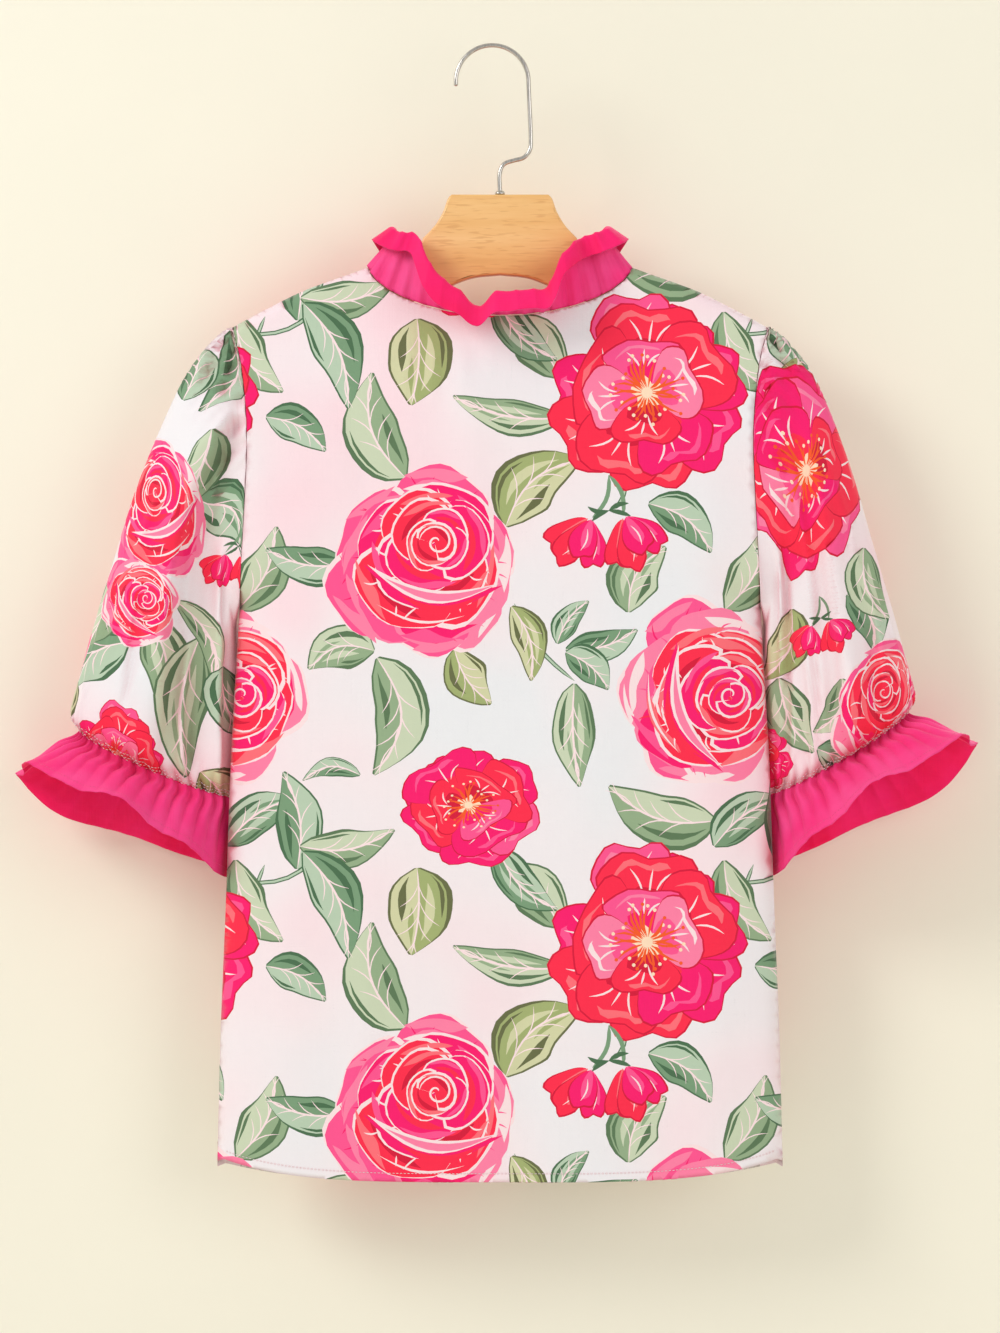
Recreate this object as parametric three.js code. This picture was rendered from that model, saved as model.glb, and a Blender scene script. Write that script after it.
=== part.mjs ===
// A short-sleeved blouse with a frilled neck and frilled cuffs, hanging on a wooden hanger.
// Units are millimetres and +Z is up. The blouse's back faces -Y and its front faces +Y.
// The origin is the inner top of the hook's bend, where a rail carries the hanger.

import * as THREE from "three";

// Cloth and seams
const CLOTH = 1.2; // thickness of every cloth wall
const SEAM_GAP = 0.3; // gap between two sewn pieces
const HALF_GAP = SEAM_GAP / 2;

// Hook and hanger
const STEM_X = 5.5; // the stem, and the middle of the blouse, stand beside the hook's centre
const WIRE_R = 1.6;
const BEND_R = 25.6; // hook's bend, to the middle of the wire
const LEG_X = 27.2; // the hook's straight leg
const CRANK_Z = -76; // the leg's lower end, where it cranks back to the stem
const BLOCK_TOP = -104; // top of the wooden block
const WOOD_THICK = 12;
const WOOD_ROUND = 3; // rounding of the wood's edges
const WOOD_DROP = 3.3; // wood's upper edge below the outside of the shoulder

const ARM_END = 171; // the wooden arm's rounded end

// Outline of the wooden block from its top corner down to the arm
const WOOD_BLOCK = [
  { x: 34, below: 0 },
  { x: 36.5, below: 2.5 },
  { x: 40, below: 12 },
  { x: 46, below: 22 },
  { x: 54, below: 30.5 },
];
// Outline of the arm's rounded end
const WOOD_TIP = [
  { past: -3, below: 0.2 },
  { past: 1.5, below: 9 },
  { past: 1, below: 19 },
];
// Height of the wood's lower edge, by the distance from its middle
const WOOD_UNDERSIDE = [
  { x: 0, z: -160.3 },
  { x: 20, z: -162.6 },
  { x: 38.5, z: -169.7 },
  { x: 60, z: -178.5 },
  { x: 93, z: -190 },
  { x: 130, z: -203 },
  { x: 165, z: -219.5 },
];

// Body of the blouse, in its own group, so x is measured from the middle of the blouse
const NECK_X = 93; // side of the neck
const NECK_Z = -155;
const NECK_DROP = 35; // back neckline below the side of the neck
const V_DROP = 178; // front neckline below the side of the neck
const TIP_X = 188; // end of the shoulder seam
const UNDERARM_Z = -395;
const HEM_Z = -797;
const HEM_RISE = 13; // the hem is higher at the side seams
const FRONT_LONGER = 4; // the front hangs lower than the back
const SHOULDER_R = 9; // roll of the cloth over the hanger's arm
const BACK_DEPTH = 20; // back panel before the middle plane
const FRONT_DEPTH = 19; // front panel behind it
const ARMHOLE_DEPTH = 15; // half of the armhole's opening
const UNDERARM_ROUND = 34; // height over which the armhole closes at the underarm
const DEPTH_REACH = 130; // below the shoulder, where the body has its full depth

// Half width of the body at each height
const SIDES = [
  { z: -198, half: 188 },
  { z: -225, half: 181.5 },
  { z: -270, half: 177.5 },
  { z: -320, half: 179 },
  { z: -395, half: 183.5 },
  { z: -500, half: 189.5 },
  { z: -600, half: 193 },
  { z: -700, half: 197 },
  { z: -805, half: 199.5 },
];

// Height of the shoulder line, which runs on over the neck as a guide for the depth
const SHOULDERS = [
  { x: 0, z: -118 },
  { x: 50, z: -137.5 },
  { x: 93, z: -155 },
  { x: 136, z: -170.5 },
  { x: 160, z: -182 },
  { x: 188, z: -197 },
  { x: 200, z: -204 },
];

// Soft upright folds of the two panels
const BACK_FOLDS = [
  { x: -150, width: 22, depth: 1.6, from: -330, to: -800 },
  { x: -20, width: 16, depth: 1.4, from: -200, to: -420 },
  { x: 62, width: 30, depth: 1.8, from: -420, to: -800 },
  { x: 150, width: 20, depth: 2, from: -280, to: -800 },
];
const FRONT_FOLDS = [
  { x: -120, width: 26, depth: 3, from: -260, to: -800 },
  { x: -40, width: 24, depth: -3, from: -380, to: -800 },
  { x: 45, width: 24, depth: 3, from: -360, to: -800 },
  { x: 125, width: 26, depth: -2.5, from: -300, to: -800 },
];

// The sleeve's outer edge, from the shoulder tip to the cuff
const OUTER_EDGE = [
  { v: 0, x: 188.4, z: -197.4 },
  { v: 0.04, x: 200, z: -202.5 },
  { v: 0.1, x: 213, z: -217.5 },
  { v: 0.17, x: 225, z: -238 },
  { v: 0.27, x: 239, z: -270 },
  { v: 0.4, x: 254, z: -311 },
  { v: 0.55, x: 268, z: -358 },
  { v: 0.7, x: 281, z: -402 },
  { v: 0.83, x: 291, z: -439 },
  { v: 0.91, x: 296, z: -459 },
  { v: 0.96, x: 297, z: -471 },
  { v: 1, x: 291, z: -480 },
];

// The sleeve's inner edge, from the underarm down behind the body to the cuff
const INNER_EDGE = [
  { v: 0, x: 183.9, y: 0, z: -395.4 },
  { v: 0.1, x: 186.3, y: 6, z: -408 },
  { v: 0.22, x: 184.5, y: 13, z: -424 },
  { v: 0.4, x: 182, y: 19, z: -447 },
  { v: 0.7, x: 180, y: 24, z: -488 },
  { v: 1, x: 178, y: 26, z: -528 },
];

// Thickness of the sleeve's puff, to each side of its middle
const PUFF = [
  { v: 0, depth: 15, drop: 0 },
  { v: 0.15, depth: 20, drop: 0 },
  { v: 0.5, depth: 26, drop: 2 },
  { v: 0.8, depth: 28, drop: 7 },
  { v: 0.92, depth: 26, drop: 10 },
  { v: 1, depth: 19, drop: 9 },
];

// Long folds of the sleeve, at an angle round it that starts from its outer edge on the back
const SLEEVE_FOLDS = [
  { angle: 66, drift: 14, width: 13, depth: 5.5 },
  { angle: 104, drift: 8, width: 11, depth: -4.5 },
  { angle: 140, drift: -4, width: 11, depth: 3 },
  { angle: 235, drift: 0, width: 16, depth: 4 },
  { angle: 290, drift: 0, width: 15, depth: -4 },
];

const PUFF_START = 0.16; // share of the sleeve's length over which it leaves the armhole's outline
const PUFF_BULGE = 0.7; // below 1 it swells sooner
const OUTER_BEHIND = 8; // the outer edge at the cuff lies this far behind the middle plane
const CAP_GATHER_DEPTH = 1.1;

const CUFF_GATHERS = 38;
const CAP_GATHERS = 10;
const SLEEVE_COLUMNS = 38;
const CUFF_COLUMNS = 2 * CUFF_GATHERS;
const GATHER_DEPTH = 1;

// Each side: which way it points, how far its sleeve spreads and how high its cuff sits
const SLEEVES = [
  { side: "left", sign: -1, spread: 1.045, lift: 0 },
  { side: "right", sign: 1, spread: 0.955, lift: 13 },
];

// Cuff frill: how far it reaches from the seam at each angle, and which way it lies
const CUFF_FRILL = [
  { angle: 0, reach: 50, out: 0.84, toward: -0.2, down: 0.48 },
  { angle: 24, reach: 52, out: 0.6, toward: -0.62, down: 0.46 },
  { angle: 45, reach: 54, out: 0.38, toward: -0.84, down: 0.4 },
  { angle: 90, reach: 55, out: 0.14, toward: -0.84, down: 0.5 },
  { angle: 125, reach: 55, out: 0.12, toward: -0.58, down: 0.76 },
  { angle: 150, reach: 56, out: 0.1, toward: -0.02, down: 1 },
  { angle: 180, reach: 56, out: -0.02, toward: 0.06, down: 1 },
  { angle: 225, reach: 60, out: 0.06, toward: 0.2, down: 0.98 },
  { angle: 262, reach: 60, out: 0.2, toward: 0.18, down: 0.96 },
  { angle: 285, reach: 62, out: 0.36, toward: 0.18, down: 0.94 },
  { angle: 315, reach: 65, out: 0.66, toward: 0.14, down: 0.76 },
  { angle: 340, reach: 60, out: 0.9, toward: 0.08, down: 0.6 },
  { angle: 360, reach: 50, out: 0.84, toward: -0.2, down: 0.48 },
];
const CUFF_WAVES = 7;
const CUFF_WAVE_DEPTH = 6;
const CUFF_WAVE_START = 5.2; // where the first wave begins, as an angle in radians
const CUFF_WAVE_CALM = 45; // degrees to each side of the body over which the frill hangs without waves
const CUFF_WAVE_FREE = 100; // and from which its waves are full
const FRILL_LIFT = 60; // a cuff that sits this much higher would turn its frill up by half a right angle
const FRILL_EDGE_GATHER = 0.25; // share of the gathers' depth that is left at the frill's edge
const FRILL_ROWS = 5;

// Collar frill along the neck: it rises from the seam, leaning outwards, then falls back over itself.
// "at" is the distance across the blouse on the back, and past the side of the neck it goes on down the V.
const COLLAR = [
  { at: -93, rise: 30, lean: 4, fall: 168, width: 54 },
  { at: -84, rise: 36, lean: 6, fall: 166, width: 58 },
  { at: -70, rise: 41, lean: 14, fall: 166, width: 62 },
  { at: -56, rise: 33, lean: 26, fall: 164, width: 58 },
  { at: -42, rise: 27, lean: 42, fall: 158, width: 54 },
  { at: -27, rise: 23, lean: 64, fall: 150, width: 48 },
  { at: -14, rise: 21, lean: 84, fall: 144, width: 44 },
  { at: -3, rise: 24, lean: 50, fall: 148, width: 48 },
  { at: 14, rise: 25, lean: 58, fall: 146, width: 48 },
  { at: 32, rise: 24, lean: 61, fall: 145, width: 48 },
  { at: 45, rise: 36, lean: 24, fall: 158, width: 56 },
  { at: 59, rise: 40, lean: 16, fall: 166, width: 61 },
  { at: 84, rise: 36, lean: 6, fall: 166, width: 58 },
  { at: 93, rise: 30, lean: 4, fall: 168, width: 54 },
];
// The same frill down the V, by height, where it turns outwards so that its two sides stay apart
const V_COLLAR = [
  { z: -155, rise: 30, lean: 4, fall: 168, width: 54 },
  { z: -200, rise: 27, lean: 48, fall: 150, width: 52 },
  { z: -250, rise: 24, lean: 66, fall: 145, width: 46 },
  { z: -333, rise: 24, lean: 95, fall: 152, width: 46 },
];
const COLLAR_GATHERS = 50;
const COLLAR_COLUMNS = 2 * COLLAR_GATHERS;
const COLLAR_WAVES = 13;
const COLLAR_WAVE_TILT = 7; // degrees that each wave leans to and fro
const COLLAR_GATHER_DEPTH = [0.9, 0.1]; // at the seam and from the turn on
const COLLAR_BEND = 9; // length of cloth in the turn at the top
const COLLAR_STAND = 0.6; // how far the frill turns from across the neck seam towards upright

// Interpolation and small helpers

const clamp = (x, low, high) => Math.min(high, Math.max(low, x));
const mix = (a, b, t) => a + (b - a) * t;
const radians = THREE.MathUtils.degToRad;

function ease(low, high, x) {
  const t = clamp((x - low) / (high - low), 0, 1);
  return t * t * (3 - 2 * t);
}

// A smooth curve through a table's rows, read by one column and giving another
function curve(rows, by, column) {
  const sorted = [...rows].sort((a, b) => a[by] - b[by]);
  const slope = (i) => {
    const before = sorted[Math.max(0, i - 1)];
    const after = sorted[Math.min(sorted.length - 1, i + 1)];
    return (after[column] - before[column]) / (after[by] - before[by]);
  };
  return (x) => {
    const at = clamp(x, sorted[0][by], sorted.at(-1)[by]);
    let i = 0;
    while (i < sorted.length - 2 && at > sorted[i + 1][by]) i++;
    const span = sorted[i + 1][by] - sorted[i][by];
    const t = (at - sorted[i][by]) / span;
    const [a, b] = [sorted[i][column], sorted[i + 1][column]];
    const [p, q] = [slope(i) * span, slope(i + 1) * span];
    const t2 = t * t;
    const t3 = t2 * t;
    return (
      (2 * t3 - 3 * t2 + 1) * a + (t3 - 2 * t2 + t) * p + (3 * t2 - 2 * t3) * b + (t3 - t2) * q
    );
  };
}

const evenly = (from, to, steps) =>
  Array.from({ length: steps + 1 }, (_, i) => mix(from, to, i / steps));
const ridge = (distance, width) => Math.exp(-((distance / width) ** 2));
const zigzag = (column) => (column % 2 ? 1 : -1);

// Builds a closed cloth wall from rows of points. Each point is { base, normal, relief },
// and a row may have twice the points of the next. Rows close on themselves if loop is true.
function clothWall(rows, loop) {
  const positions = [];
  const indices = [];
  const outer = [];
  const inner = [];
  for (const row of rows) {
    for (const [list, depth] of [
      [outer, 0],
      [inner, CLOTH],
    ]) {
      list.push(
        row.map(({ base, normal, relief = 0 }) => {
          const p = base.clone().addScaledVector(normal, relief - depth);
          positions.push(p.x, p.y, p.z);
          return positions.length / 3 - 1;
        }),
      );
    }
  }
  const triangle = (a, b, c, flip) => indices.push(...(flip ? [a, c, b] : [a, b, c]));
  const between = (low, high, flip) => {
    if (low.length > high.length) return between(high, low, !flip);
    const finer = high.length > low.length;
    const steps = loop ? low.length : low.length - 1;
    for (let i = 0; i < steps; i++) {
      const j = (i + 1) % low.length;
      if (!finer) {
        triangle(low[i], low[j], high[j], flip);
        triangle(low[i], high[j], high[i], flip);
        continue;
      }
      const [a, b, c] = [2 * i, 2 * i + 1, 2 * i + 2].map((k) => high[k % high.length]);
      triangle(low[i], b, a, flip);
      triangle(low[i], low[j], b, flip);
      triangle(low[j], c, b, flip);
    }
  };
  for (let r = 0; r < rows.length - 1; r++) {
    between(outer[r], outer[r + 1], false);
    between(inner[r], inner[r + 1], true);
  }
  between(inner[0], outer[0], false);
  between(outer.at(-1), inner.at(-1), false);
  if (!loop) {
    const side = (list, k) => list.map((row) => row.at(k));
    const rim = (near, far) => {
      for (let r = 0; r < near.length - 1; r++) {
        triangle(near[r], far[r], far[r + 1], false);
        triangle(near[r], far[r + 1], near[r + 1], false);
      }
    };
    rim(side(inner, 0), side(outer, 0));
    rim(side(outer, -1), side(inner, -1));
  }
  const geometry = new THREE.BufferGeometry();
  geometry.setAttribute("position", new THREE.Float32BufferAttribute(positions, 3));
  geometry.setIndex(indices);
  geometry.computeVertexNormals();
  return geometry;
}

// The outward normal at each point of a grid of bases, by its neighbours
function gridNormals(grid, loop, outward) {
  return grid.map((row, r) =>
    row.map((_, c) => {
      const scale = (other) => other.length / row.length;
      const above = grid[Math.min(grid.length - 1, r + 1)];
      const below = grid[Math.max(0, r - 1)];
      const up = above[Math.min(above.length - 1, Math.round(c * scale(above)))];
      const down = below[Math.min(below.length - 1, Math.round(c * scale(below)))];
      const next = loop ? row[(c + 1) % row.length] : row[Math.min(row.length - 1, c + 1)];
      const last = loop ? row[(c + row.length - 1) % row.length] : row[Math.max(0, c - 1)];
      const along = next.clone().sub(last);
      const across = up.clone().sub(down);
      return along.cross(across).multiplyScalar(outward).normalize();
    }),
  );
}

// Colours and finishes
const material = (color, roughness, metalness = 0) =>
  new THREE.MeshStandardMaterial({ color, roughness, metalness });
const FLORAL = material(0xf3dfe4, 0.8);
const PINK = material(0xf5186f, 0.75);
const BEECH = material(0xe0ac5c, 0.5);
const STEEL = material(0xb4b0a8, 0.3, 1);

function piece(name, geometry, finish, x = 0) {
  const mesh = new THREE.Mesh(geometry, finish);
  mesh.name = name;
  mesh.position.x = x;
  return mesh;
}

// Body panels

const halfWidth = curve(SIDES, "z", "half");
const shoulderLine = curve(SHOULDERS, "x", "z");
const hemLine = (x) => HEM_Z + HEM_RISE * (Math.abs(x) / TIP_X) ** 4;

const quarterRound = (share) => Math.sqrt(Math.max(0, 1 - (1 - clamp(share, 0, 1)) ** 2));

// The armhole's half depth at a distance below the shoulder: nothing at the shoulder's end and the underarm
function edgeDepth(below) {
  const armhole = mix(SHOULDER_R, ARMHOLE_DEPTH, ease(0, DEPTH_REACH / 2, below - SHOULDER_R));
  const toUnderarm = shoulderLine(TIP_X) - UNDERARM_Z - below;
  return armhole * quarterRound(below / SHOULDER_R) * quarterRound(toUnderarm / UNDERARM_ROUND);
}

// Distance of a panel from the middle plane
function bodyDepth(x, z, full) {
  const s = Math.min(1, Math.abs(x) / halfWidth(z));
  const below = shoulderLine(Math.abs(x)) - z;
  const roll = quarterRound(below / SHOULDER_R);
  const body = mix(SHOULDER_R, full, ease(0, DEPTH_REACH, below - SHOULDER_R));
  const edge = edgeDepth(below);
  const roundness = mix(0.5, 1, edge / ARMHOLE_DEPTH);
  const lens = (1 - s ** 4) ** roundness;
  return HALF_GAP + edge + (roll * body - edge) * lens;
}

const foldRelief = (folds, x, z) =>
  folds.reduce(
    (sum, f) =>
      sum +
      f.depth * ridge(x - f.x, f.width) * ease(f.from + 30, f.from - 60, z) * ease(f.to - 60, f.to, z),
    0,
  );

const backNeck = (x) =>
  NECK_Z - NECK_DROP * Math.max(0, 1 - (x / NECK_X) ** 2) ** 0.6;
const frontNeck = (x) => NECK_Z - V_DROP * Math.max(0, 1 - Math.abs(x) / NECK_X) ** 0.92;

const UNDERARM_SHARE = 0.673; // the underarm's height, as a share of the side from hem to shoulder
const ARMHOLE_SHARES = [0.694, 0.73, 0.79, 0.86, 0.9, 0.935, 0.97, 1]; // rows beside the armhole

const BACK = {
  facing: -1,
  depth: BACK_DEPTH,
  neck: backNeck,
  folds: BACK_FOLDS,
  hem: hemLine,
  stations: [0, 20, 38, 54, 68, 79, 87, 91.5, 93, 99, 113, 131, 149, 164, 175, 183, 187, 188],
  shares: [...evenly(0, UNDERARM_SHARE, 9), ...ARMHOLE_SHARES],
};
const FRONT = {
  facing: 1,
  depth: FRONT_DEPTH,
  neck: frontNeck,
  folds: FRONT_FOLDS,
  hem: (x) => hemLine(x) - FRONT_LONGER,
  stations: [0, 12, 30, 48, 66, 80, 88, 91.5, 93, 100, 118, 140, 160, 174, 183, 187, 188],
  shares: [...evenly(0, UNDERARM_SHARE, 8), ...ARMHOLE_SHARES],
};
// Distances below the shoulder seam of the rows that roll over the hanger's arm
const ROLL_ROWS = [5.4, 2.6, 0.8, 0];

// A panel's outer surface at a height, where stations across it spread with its half width
function panelPoint(panel, station, z) {
  const x = (station * halfWidth(z)) / TIP_X;
  const fade = 1 - (Math.abs(x) / halfWidth(z)) ** 6;
  const depth = bodyDepth(x, z, panel.depth) + foldRelief(panel.folds, x, z) * fade;
  return new THREE.Vector3(x, panel.facing * depth, z);
}

const bothSides = (stations) => [...stations.slice(1).map((x) => -x).reverse(), ...stations];

function panelGeometry(panel) {
  const stations = bothSides(panel.stations);
  const topEdge = (x) => (Math.abs(x) < NECK_X ? panel.neck(x) : shoulderLine(Math.abs(x)));
  const gridRow = (height) =>
    stations.map((station) => {
      const z = height(topEdge(station), panel.hem(station));
      return panelPoint(panel, station, z);
    });
  const grid = [
    ...panel.shares.map((share) => gridRow((top, hem) => mix(hem, top - SHOULDER_R, share))),
    ...ROLL_ROWS.map((drop) => gridRow((top) => top - drop)),
  ];
  const normals = gridNormals(grid, false, -panel.facing);
  const last = stations.length - 1;
  const rows = grid.map((row, r) =>
    row.map((base, c) => {
      const normal = normals[r][c];
      const atSide = c === 0 || c === last;
      const sewnSide = Math.abs(base.y) < CLOTH;
      if (atSide && sewnSide) normal.set(Math.sign(base.x), 0, 0);
      else if (atSide) normal.x = 0;
      if (r === grid.length - 1 && Math.abs(stations[c]) >= NECK_X) normal.set(normals[r][c].x, 0, 1);
      normal.normalize();
      return { base, normal };
    }),
  );
  const ordered = panel.facing < 0 ? rows : rows.map((row) => [...row].reverse());
  return clothWall(ordered, false);
}

// Sleeves

const outerX = curve(OUTER_EDGE, "v", "x");
const outerZ = curve(OUTER_EDGE, "v", "z");
const innerX = curve(INNER_EDGE, "v", "x");
const innerY = curve(INNER_EDGE, "v", "y");
const innerZ = curve(INNER_EDGE, "v", "z");
const puffDepth = curve(PUFF, "v", "depth");
const puffDrop = curve(PUFF, "v", "drop");

// A point of the armhole, at an angle round it from the shoulder tip by the back to the underarm
function armholePoint(angle) {
  const tip = shoulderLine(TIP_X) - 0.05;
  const z = mix(tip, UNDERARM_Z, (1 - Math.cos(angle)) / 2);
  const near = Math.sin(angle) >= 0 ? -1 : 1;
  return new THREE.Vector3(halfWidth(z) + SEAM_GAP + 0.1, near * edgeDepth(tip - z), z);
}

// A point of the sleeve's smooth form, as on the right side
function sleevePoint(sleeve, angle, v) {
  const wide = (x) => TIP_X + (x - TIP_X) * mix(1, sleeve.spread, ease(0, 0.5, v));
  const across = (1 - Math.cos(angle)) / 2;
  const lift = sleeve.lift * v * v * (1 - across);
  const x = mix(wide(outerX(v)), innerX(v), across);
  const z = mix(outerZ(v), innerZ(v), across) + lift;
  const middle = mix(OUTER_BEHIND * v, innerY(v), across);
  const round = Math.sin(angle);
  const near = round > 0 ? 1 : 0;
  const point = new THREE.Vector3(
    x,
    middle - round * puffDepth(v),
    z - near * round * puffDrop(v),
  );
  return armholePoint(angle).lerp(point, ease(0, PUFF_START, v) ** PUFF_BULGE);
}

function sleeveFold(angle, v) {
  const degrees = THREE.MathUtils.radToDeg(angle);
  const strength = ease(0.03, 0.3, v) * ease(1, 0.86, v);
  return SLEEVE_FOLDS.reduce(
    (sum, f) => sum + f.depth * ridge(degrees - f.angle - f.drift * v, f.width) * strength,
    0,
  );
}

// Direction in which a sleeve ends, as on the right side
function cuffDirection(sleeve) {
  const total = new THREE.Vector3();
  for (let k = 0; k < 8; k++) {
    const angle = (Math.PI * k) / 4;
    total.add(sleevePoint(sleeve, angle, 1)).sub(sleevePoint(sleeve, angle, CUFF_START));
  }
  return total.normalize();
}

const SLEEVE_ROWS = [0, 0.035, 0.08, 0.15, 0.25, 0.37, 0.5, 0.63, 0.75, 0.85, 0.92];
const CUFF_START = 0.96;
const CUFF_ROWS = [CUFF_START, 1];

// Zigzag gathers at the top of the sleeve, in the columns on each side of the shoulder tip
function capGather(column, v) {
  const fromTip = Math.min(column, SLEEVE_COLUMNS - column);
  if (fromTip > CAP_GATHERS) return 0;
  return zigzag(column) * CAP_GATHER_DEPTH * ease(0.17, 0.05, v) * ease(0, 0.03, v);
}

function sleeveRows(sleeve) {
  const rowsOf = (list, columns) =>
    list.map((v) =>
      Array.from({ length: columns }, (_, c) => {
        const angle = (2 * Math.PI * c) / columns;
        return sleevePoint(sleeve, angle, v);
      }),
    );
  const grid = [...rowsOf(SLEEVE_ROWS, SLEEVE_COLUMNS), ...rowsOf(CUFF_ROWS, CUFF_COLUMNS)];
  const normals = gridNormals(grid, true, 1);
  return grid.map((row, r) =>
    row.map((base, c) => {
      const angle = (2 * Math.PI * c) / row.length;
      const v = [...SLEEVE_ROWS, ...CUFF_ROWS][r];
      const normal = normals[r][c];
      if (r === 0) normal.set(0, -Math.sin(angle), Math.cos(angle));
      const gathered = row.length === CUFF_COLUMNS ? zigzag(c) * GATHER_DEPTH : capGather(c, v);
      return { base, normal, relief: gathered + sleeveFold(angle, v) };
    }),
  );
}

// Right-side rows as they are, or mirrored for the left side with their order turned round
function onSide(rows, sign) {
  if (sign > 0) return rows;
  const mirror = ({ x, y, z }) => new THREE.Vector3(-x, y, z);
  return rows.map(([first, ...others]) =>
    [first, ...others.reverse()].map(({ base, normal, relief }) => ({
      base: mirror(base),
      normal: mirror(normal),
      relief,
    })),
  );
}

// Cuff frills

const frillReach = curve(CUFF_FRILL, "angle", "reach");
const frillOut = curve(CUFF_FRILL, "angle", "out");
const frillToward = curve(CUFF_FRILL, "angle", "toward");
const frillDown = curve(CUFF_FRILL, "angle", "down");

function frillPoint(sleeve, seam, angle, share) {
  const degrees = THREE.MathUtils.radToDeg(angle);
  const rise = sleeve.lift / FRILL_LIFT;
  const direction = new THREE.Vector3(
    frillOut(degrees),
    frillToward(degrees),
    -frillDown(degrees) + rise * frillOut(degrees),
  ).normalize();
  const start = cuffDirection(sleeve).lerp(direction, ease(-0.3, 0.4, share)).normalize();
  const free = ease(CUFF_WAVE_CALM, CUFF_WAVE_FREE, Math.abs(degrees - 180));
  const swell = CUFF_WAVE_DEPTH * share * share * free;
  const wave = Math.sin(CUFF_WAVES * angle + CUFF_WAVE_START) * swell;
  const across = new THREE.Vector3(Math.cos(angle) * 0.6, -Math.sin(angle), 0.35);
  across.addScaledVector(direction, -across.dot(direction)).normalize();
  return seam
    .clone()
    .addScaledVector(start, share * frillReach(degrees))
    .addScaledVector(across, wave);
}

function frillRows(sleeve, cuff) {
  const away = cuffDirection(sleeve);
  const seam = cuff.map(({ base }) => base.clone().addScaledVector(away, SEAM_GAP));
  const shares = evenly(0, 1, FRILL_ROWS - 1);
  const grid = shares.map((share) =>
    seam.map((point, c) => frillPoint(sleeve, point, (2 * Math.PI * c) / CUFF_COLUMNS, share)),
  );
  const normals = gridNormals(grid, true, 1);
  return grid.map((row, r) =>
    row.map((base, c) => {
      const normal = normals[r][c];
      const relief = zigzag(c) * GATHER_DEPTH * mix(1, FRILL_EDGE_GATHER, shares[r]);
      if (r > 0) return { base, normal, relief };
      const intoSleeve = Math.max(0, normal.dot(away));
      normal.addScaledVector(away, -intoSleeve).normalize();
      return { base: base.addScaledVector(cuff[c].normal, relief), normal };
    }),
  );
}

// Collar frill

// The neck seam as evenly spaced points: along the back from left to right, then down and up the V
function neckSeam(columns) {
  const edge = (panel) =>
    bothSides(panel.stations)
      .filter((station) => Math.abs(station) <= NECK_X)
      .map((station) => panelPoint(panel, station, panel.neck(station)));
  const line = [...edge(BACK), ...edge(FRONT).reverse()];
  line.push(line[0].clone());
  const length = [0];
  for (let i = 1; i < line.length; i++) length.push(length[i - 1] + line[i].distanceTo(line[i - 1]));
  let k = 0;
  return Array.from({ length: columns }, (_, c) => {
    const along = (length.at(-1) * c) / columns;
    while (length[k + 1] < along) k++;
    const t = (along - length[k]) / (length[k + 1] - length[k]);
    return line[k].clone().lerp(line[k + 1], t);
  });
}

// The cloth's outward direction at a point of the neck seam: out over the back, up on the shoulder
function neckNormal(point) {
  const below = shoulderLine(Math.abs(point.x)) - point.z;
  const upward = clamp(1 - below / (2 * SHOULDER_R), 0, 1);
  const side = Math.sign(point.x) * 0.4 * upward;
  return new THREE.Vector3(side, Math.sign(point.y) * (1 - upward), upward).normalize();
}

const collarCurves = (rows, by) =>
  ["rise", "lean", "fall", "width"].map((column) => curve(rows, by, column));
const collarBack = collarCurves(COLLAR, "at");
const collarFront = collarCurves(V_COLLAR, "z");

function collarProfile(point) {
  const [curves, at] = point.y > 0 ? [collarFront, point.z] : [collarBack, point.x];
  const [rise, lean, fall, width] = curves.map((read) => read(at));
  return { rise, lean, fall, width };
}

const COLLAR_ROWS = [0, 0.45, 1, 1.5, 2, 3]; // 0 to 1 rises, 1 to 2 turns and 2 to 3 falls

function collarGeometry() {
  const seam = neckSeam(COLLAR_COLUMNS);
  const frames = seam.map((point, c) => {
    const next = seam[(c + 1) % seam.length];
    const last = seam[(c + seam.length - 1) % seam.length];
    const tangent = next.clone().sub(last).normalize();
    const normal = neckNormal(point);
    const up = normal.clone().cross(tangent).normalize();
    up.z += COLLAR_STAND;
    up.normalize();
    return { point, up, outward: tangent.clone().cross(up).normalize() };
  });
  const grid = COLLAR_ROWS.map((row) =>
    frames.map(({ point, up, outward }, c) => {
      const { rise, lean, fall, width } = collarProfile(point);
      const wave = COLLAR_WAVE_TILT * Math.sin((2 * Math.PI * COLLAR_WAVES * c) / COLLAR_COLUMNS);
      const place = point.clone().addScaledVector(up, SEAM_GAP * 1.5);
      const step = (length, degrees) =>
        place
          .addScaledVector(up, length * Math.cos(radians(degrees)))
          .addScaledVector(outward, length * Math.sin(radians(degrees)));
      const first = lean + wave * Math.min(row, 1);
      step(rise * Math.min(row, 1), first);
      const turned = clamp(row - 1, 0, 1);
      for (let k = 0; k < 8 * turned; k++) step(COLLAR_BEND / 8, mix(first, fall, (k + 0.5) / 8));
      step((width - rise - COLLAR_BEND) * clamp(row - 2, 0, 1), fall);
      return place;
    }),
  );
  const normals = gridNormals(grid, true, 1);
  const rows = grid.map((row, r) =>
    row.map((base, c) => ({
      base,
      normal: r === 0 ? frames[c].outward : normals[r][c],
      relief: zigzag(c) * mix(...COLLAR_GATHER_DEPTH, clamp(COLLAR_ROWS[r], 0, 1)),
    })),
  );
  return clothWall(rows, true);
}

// Hanger

const woodUnderside = curve(WOOD_UNDERSIDE, "x", "z");

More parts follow.
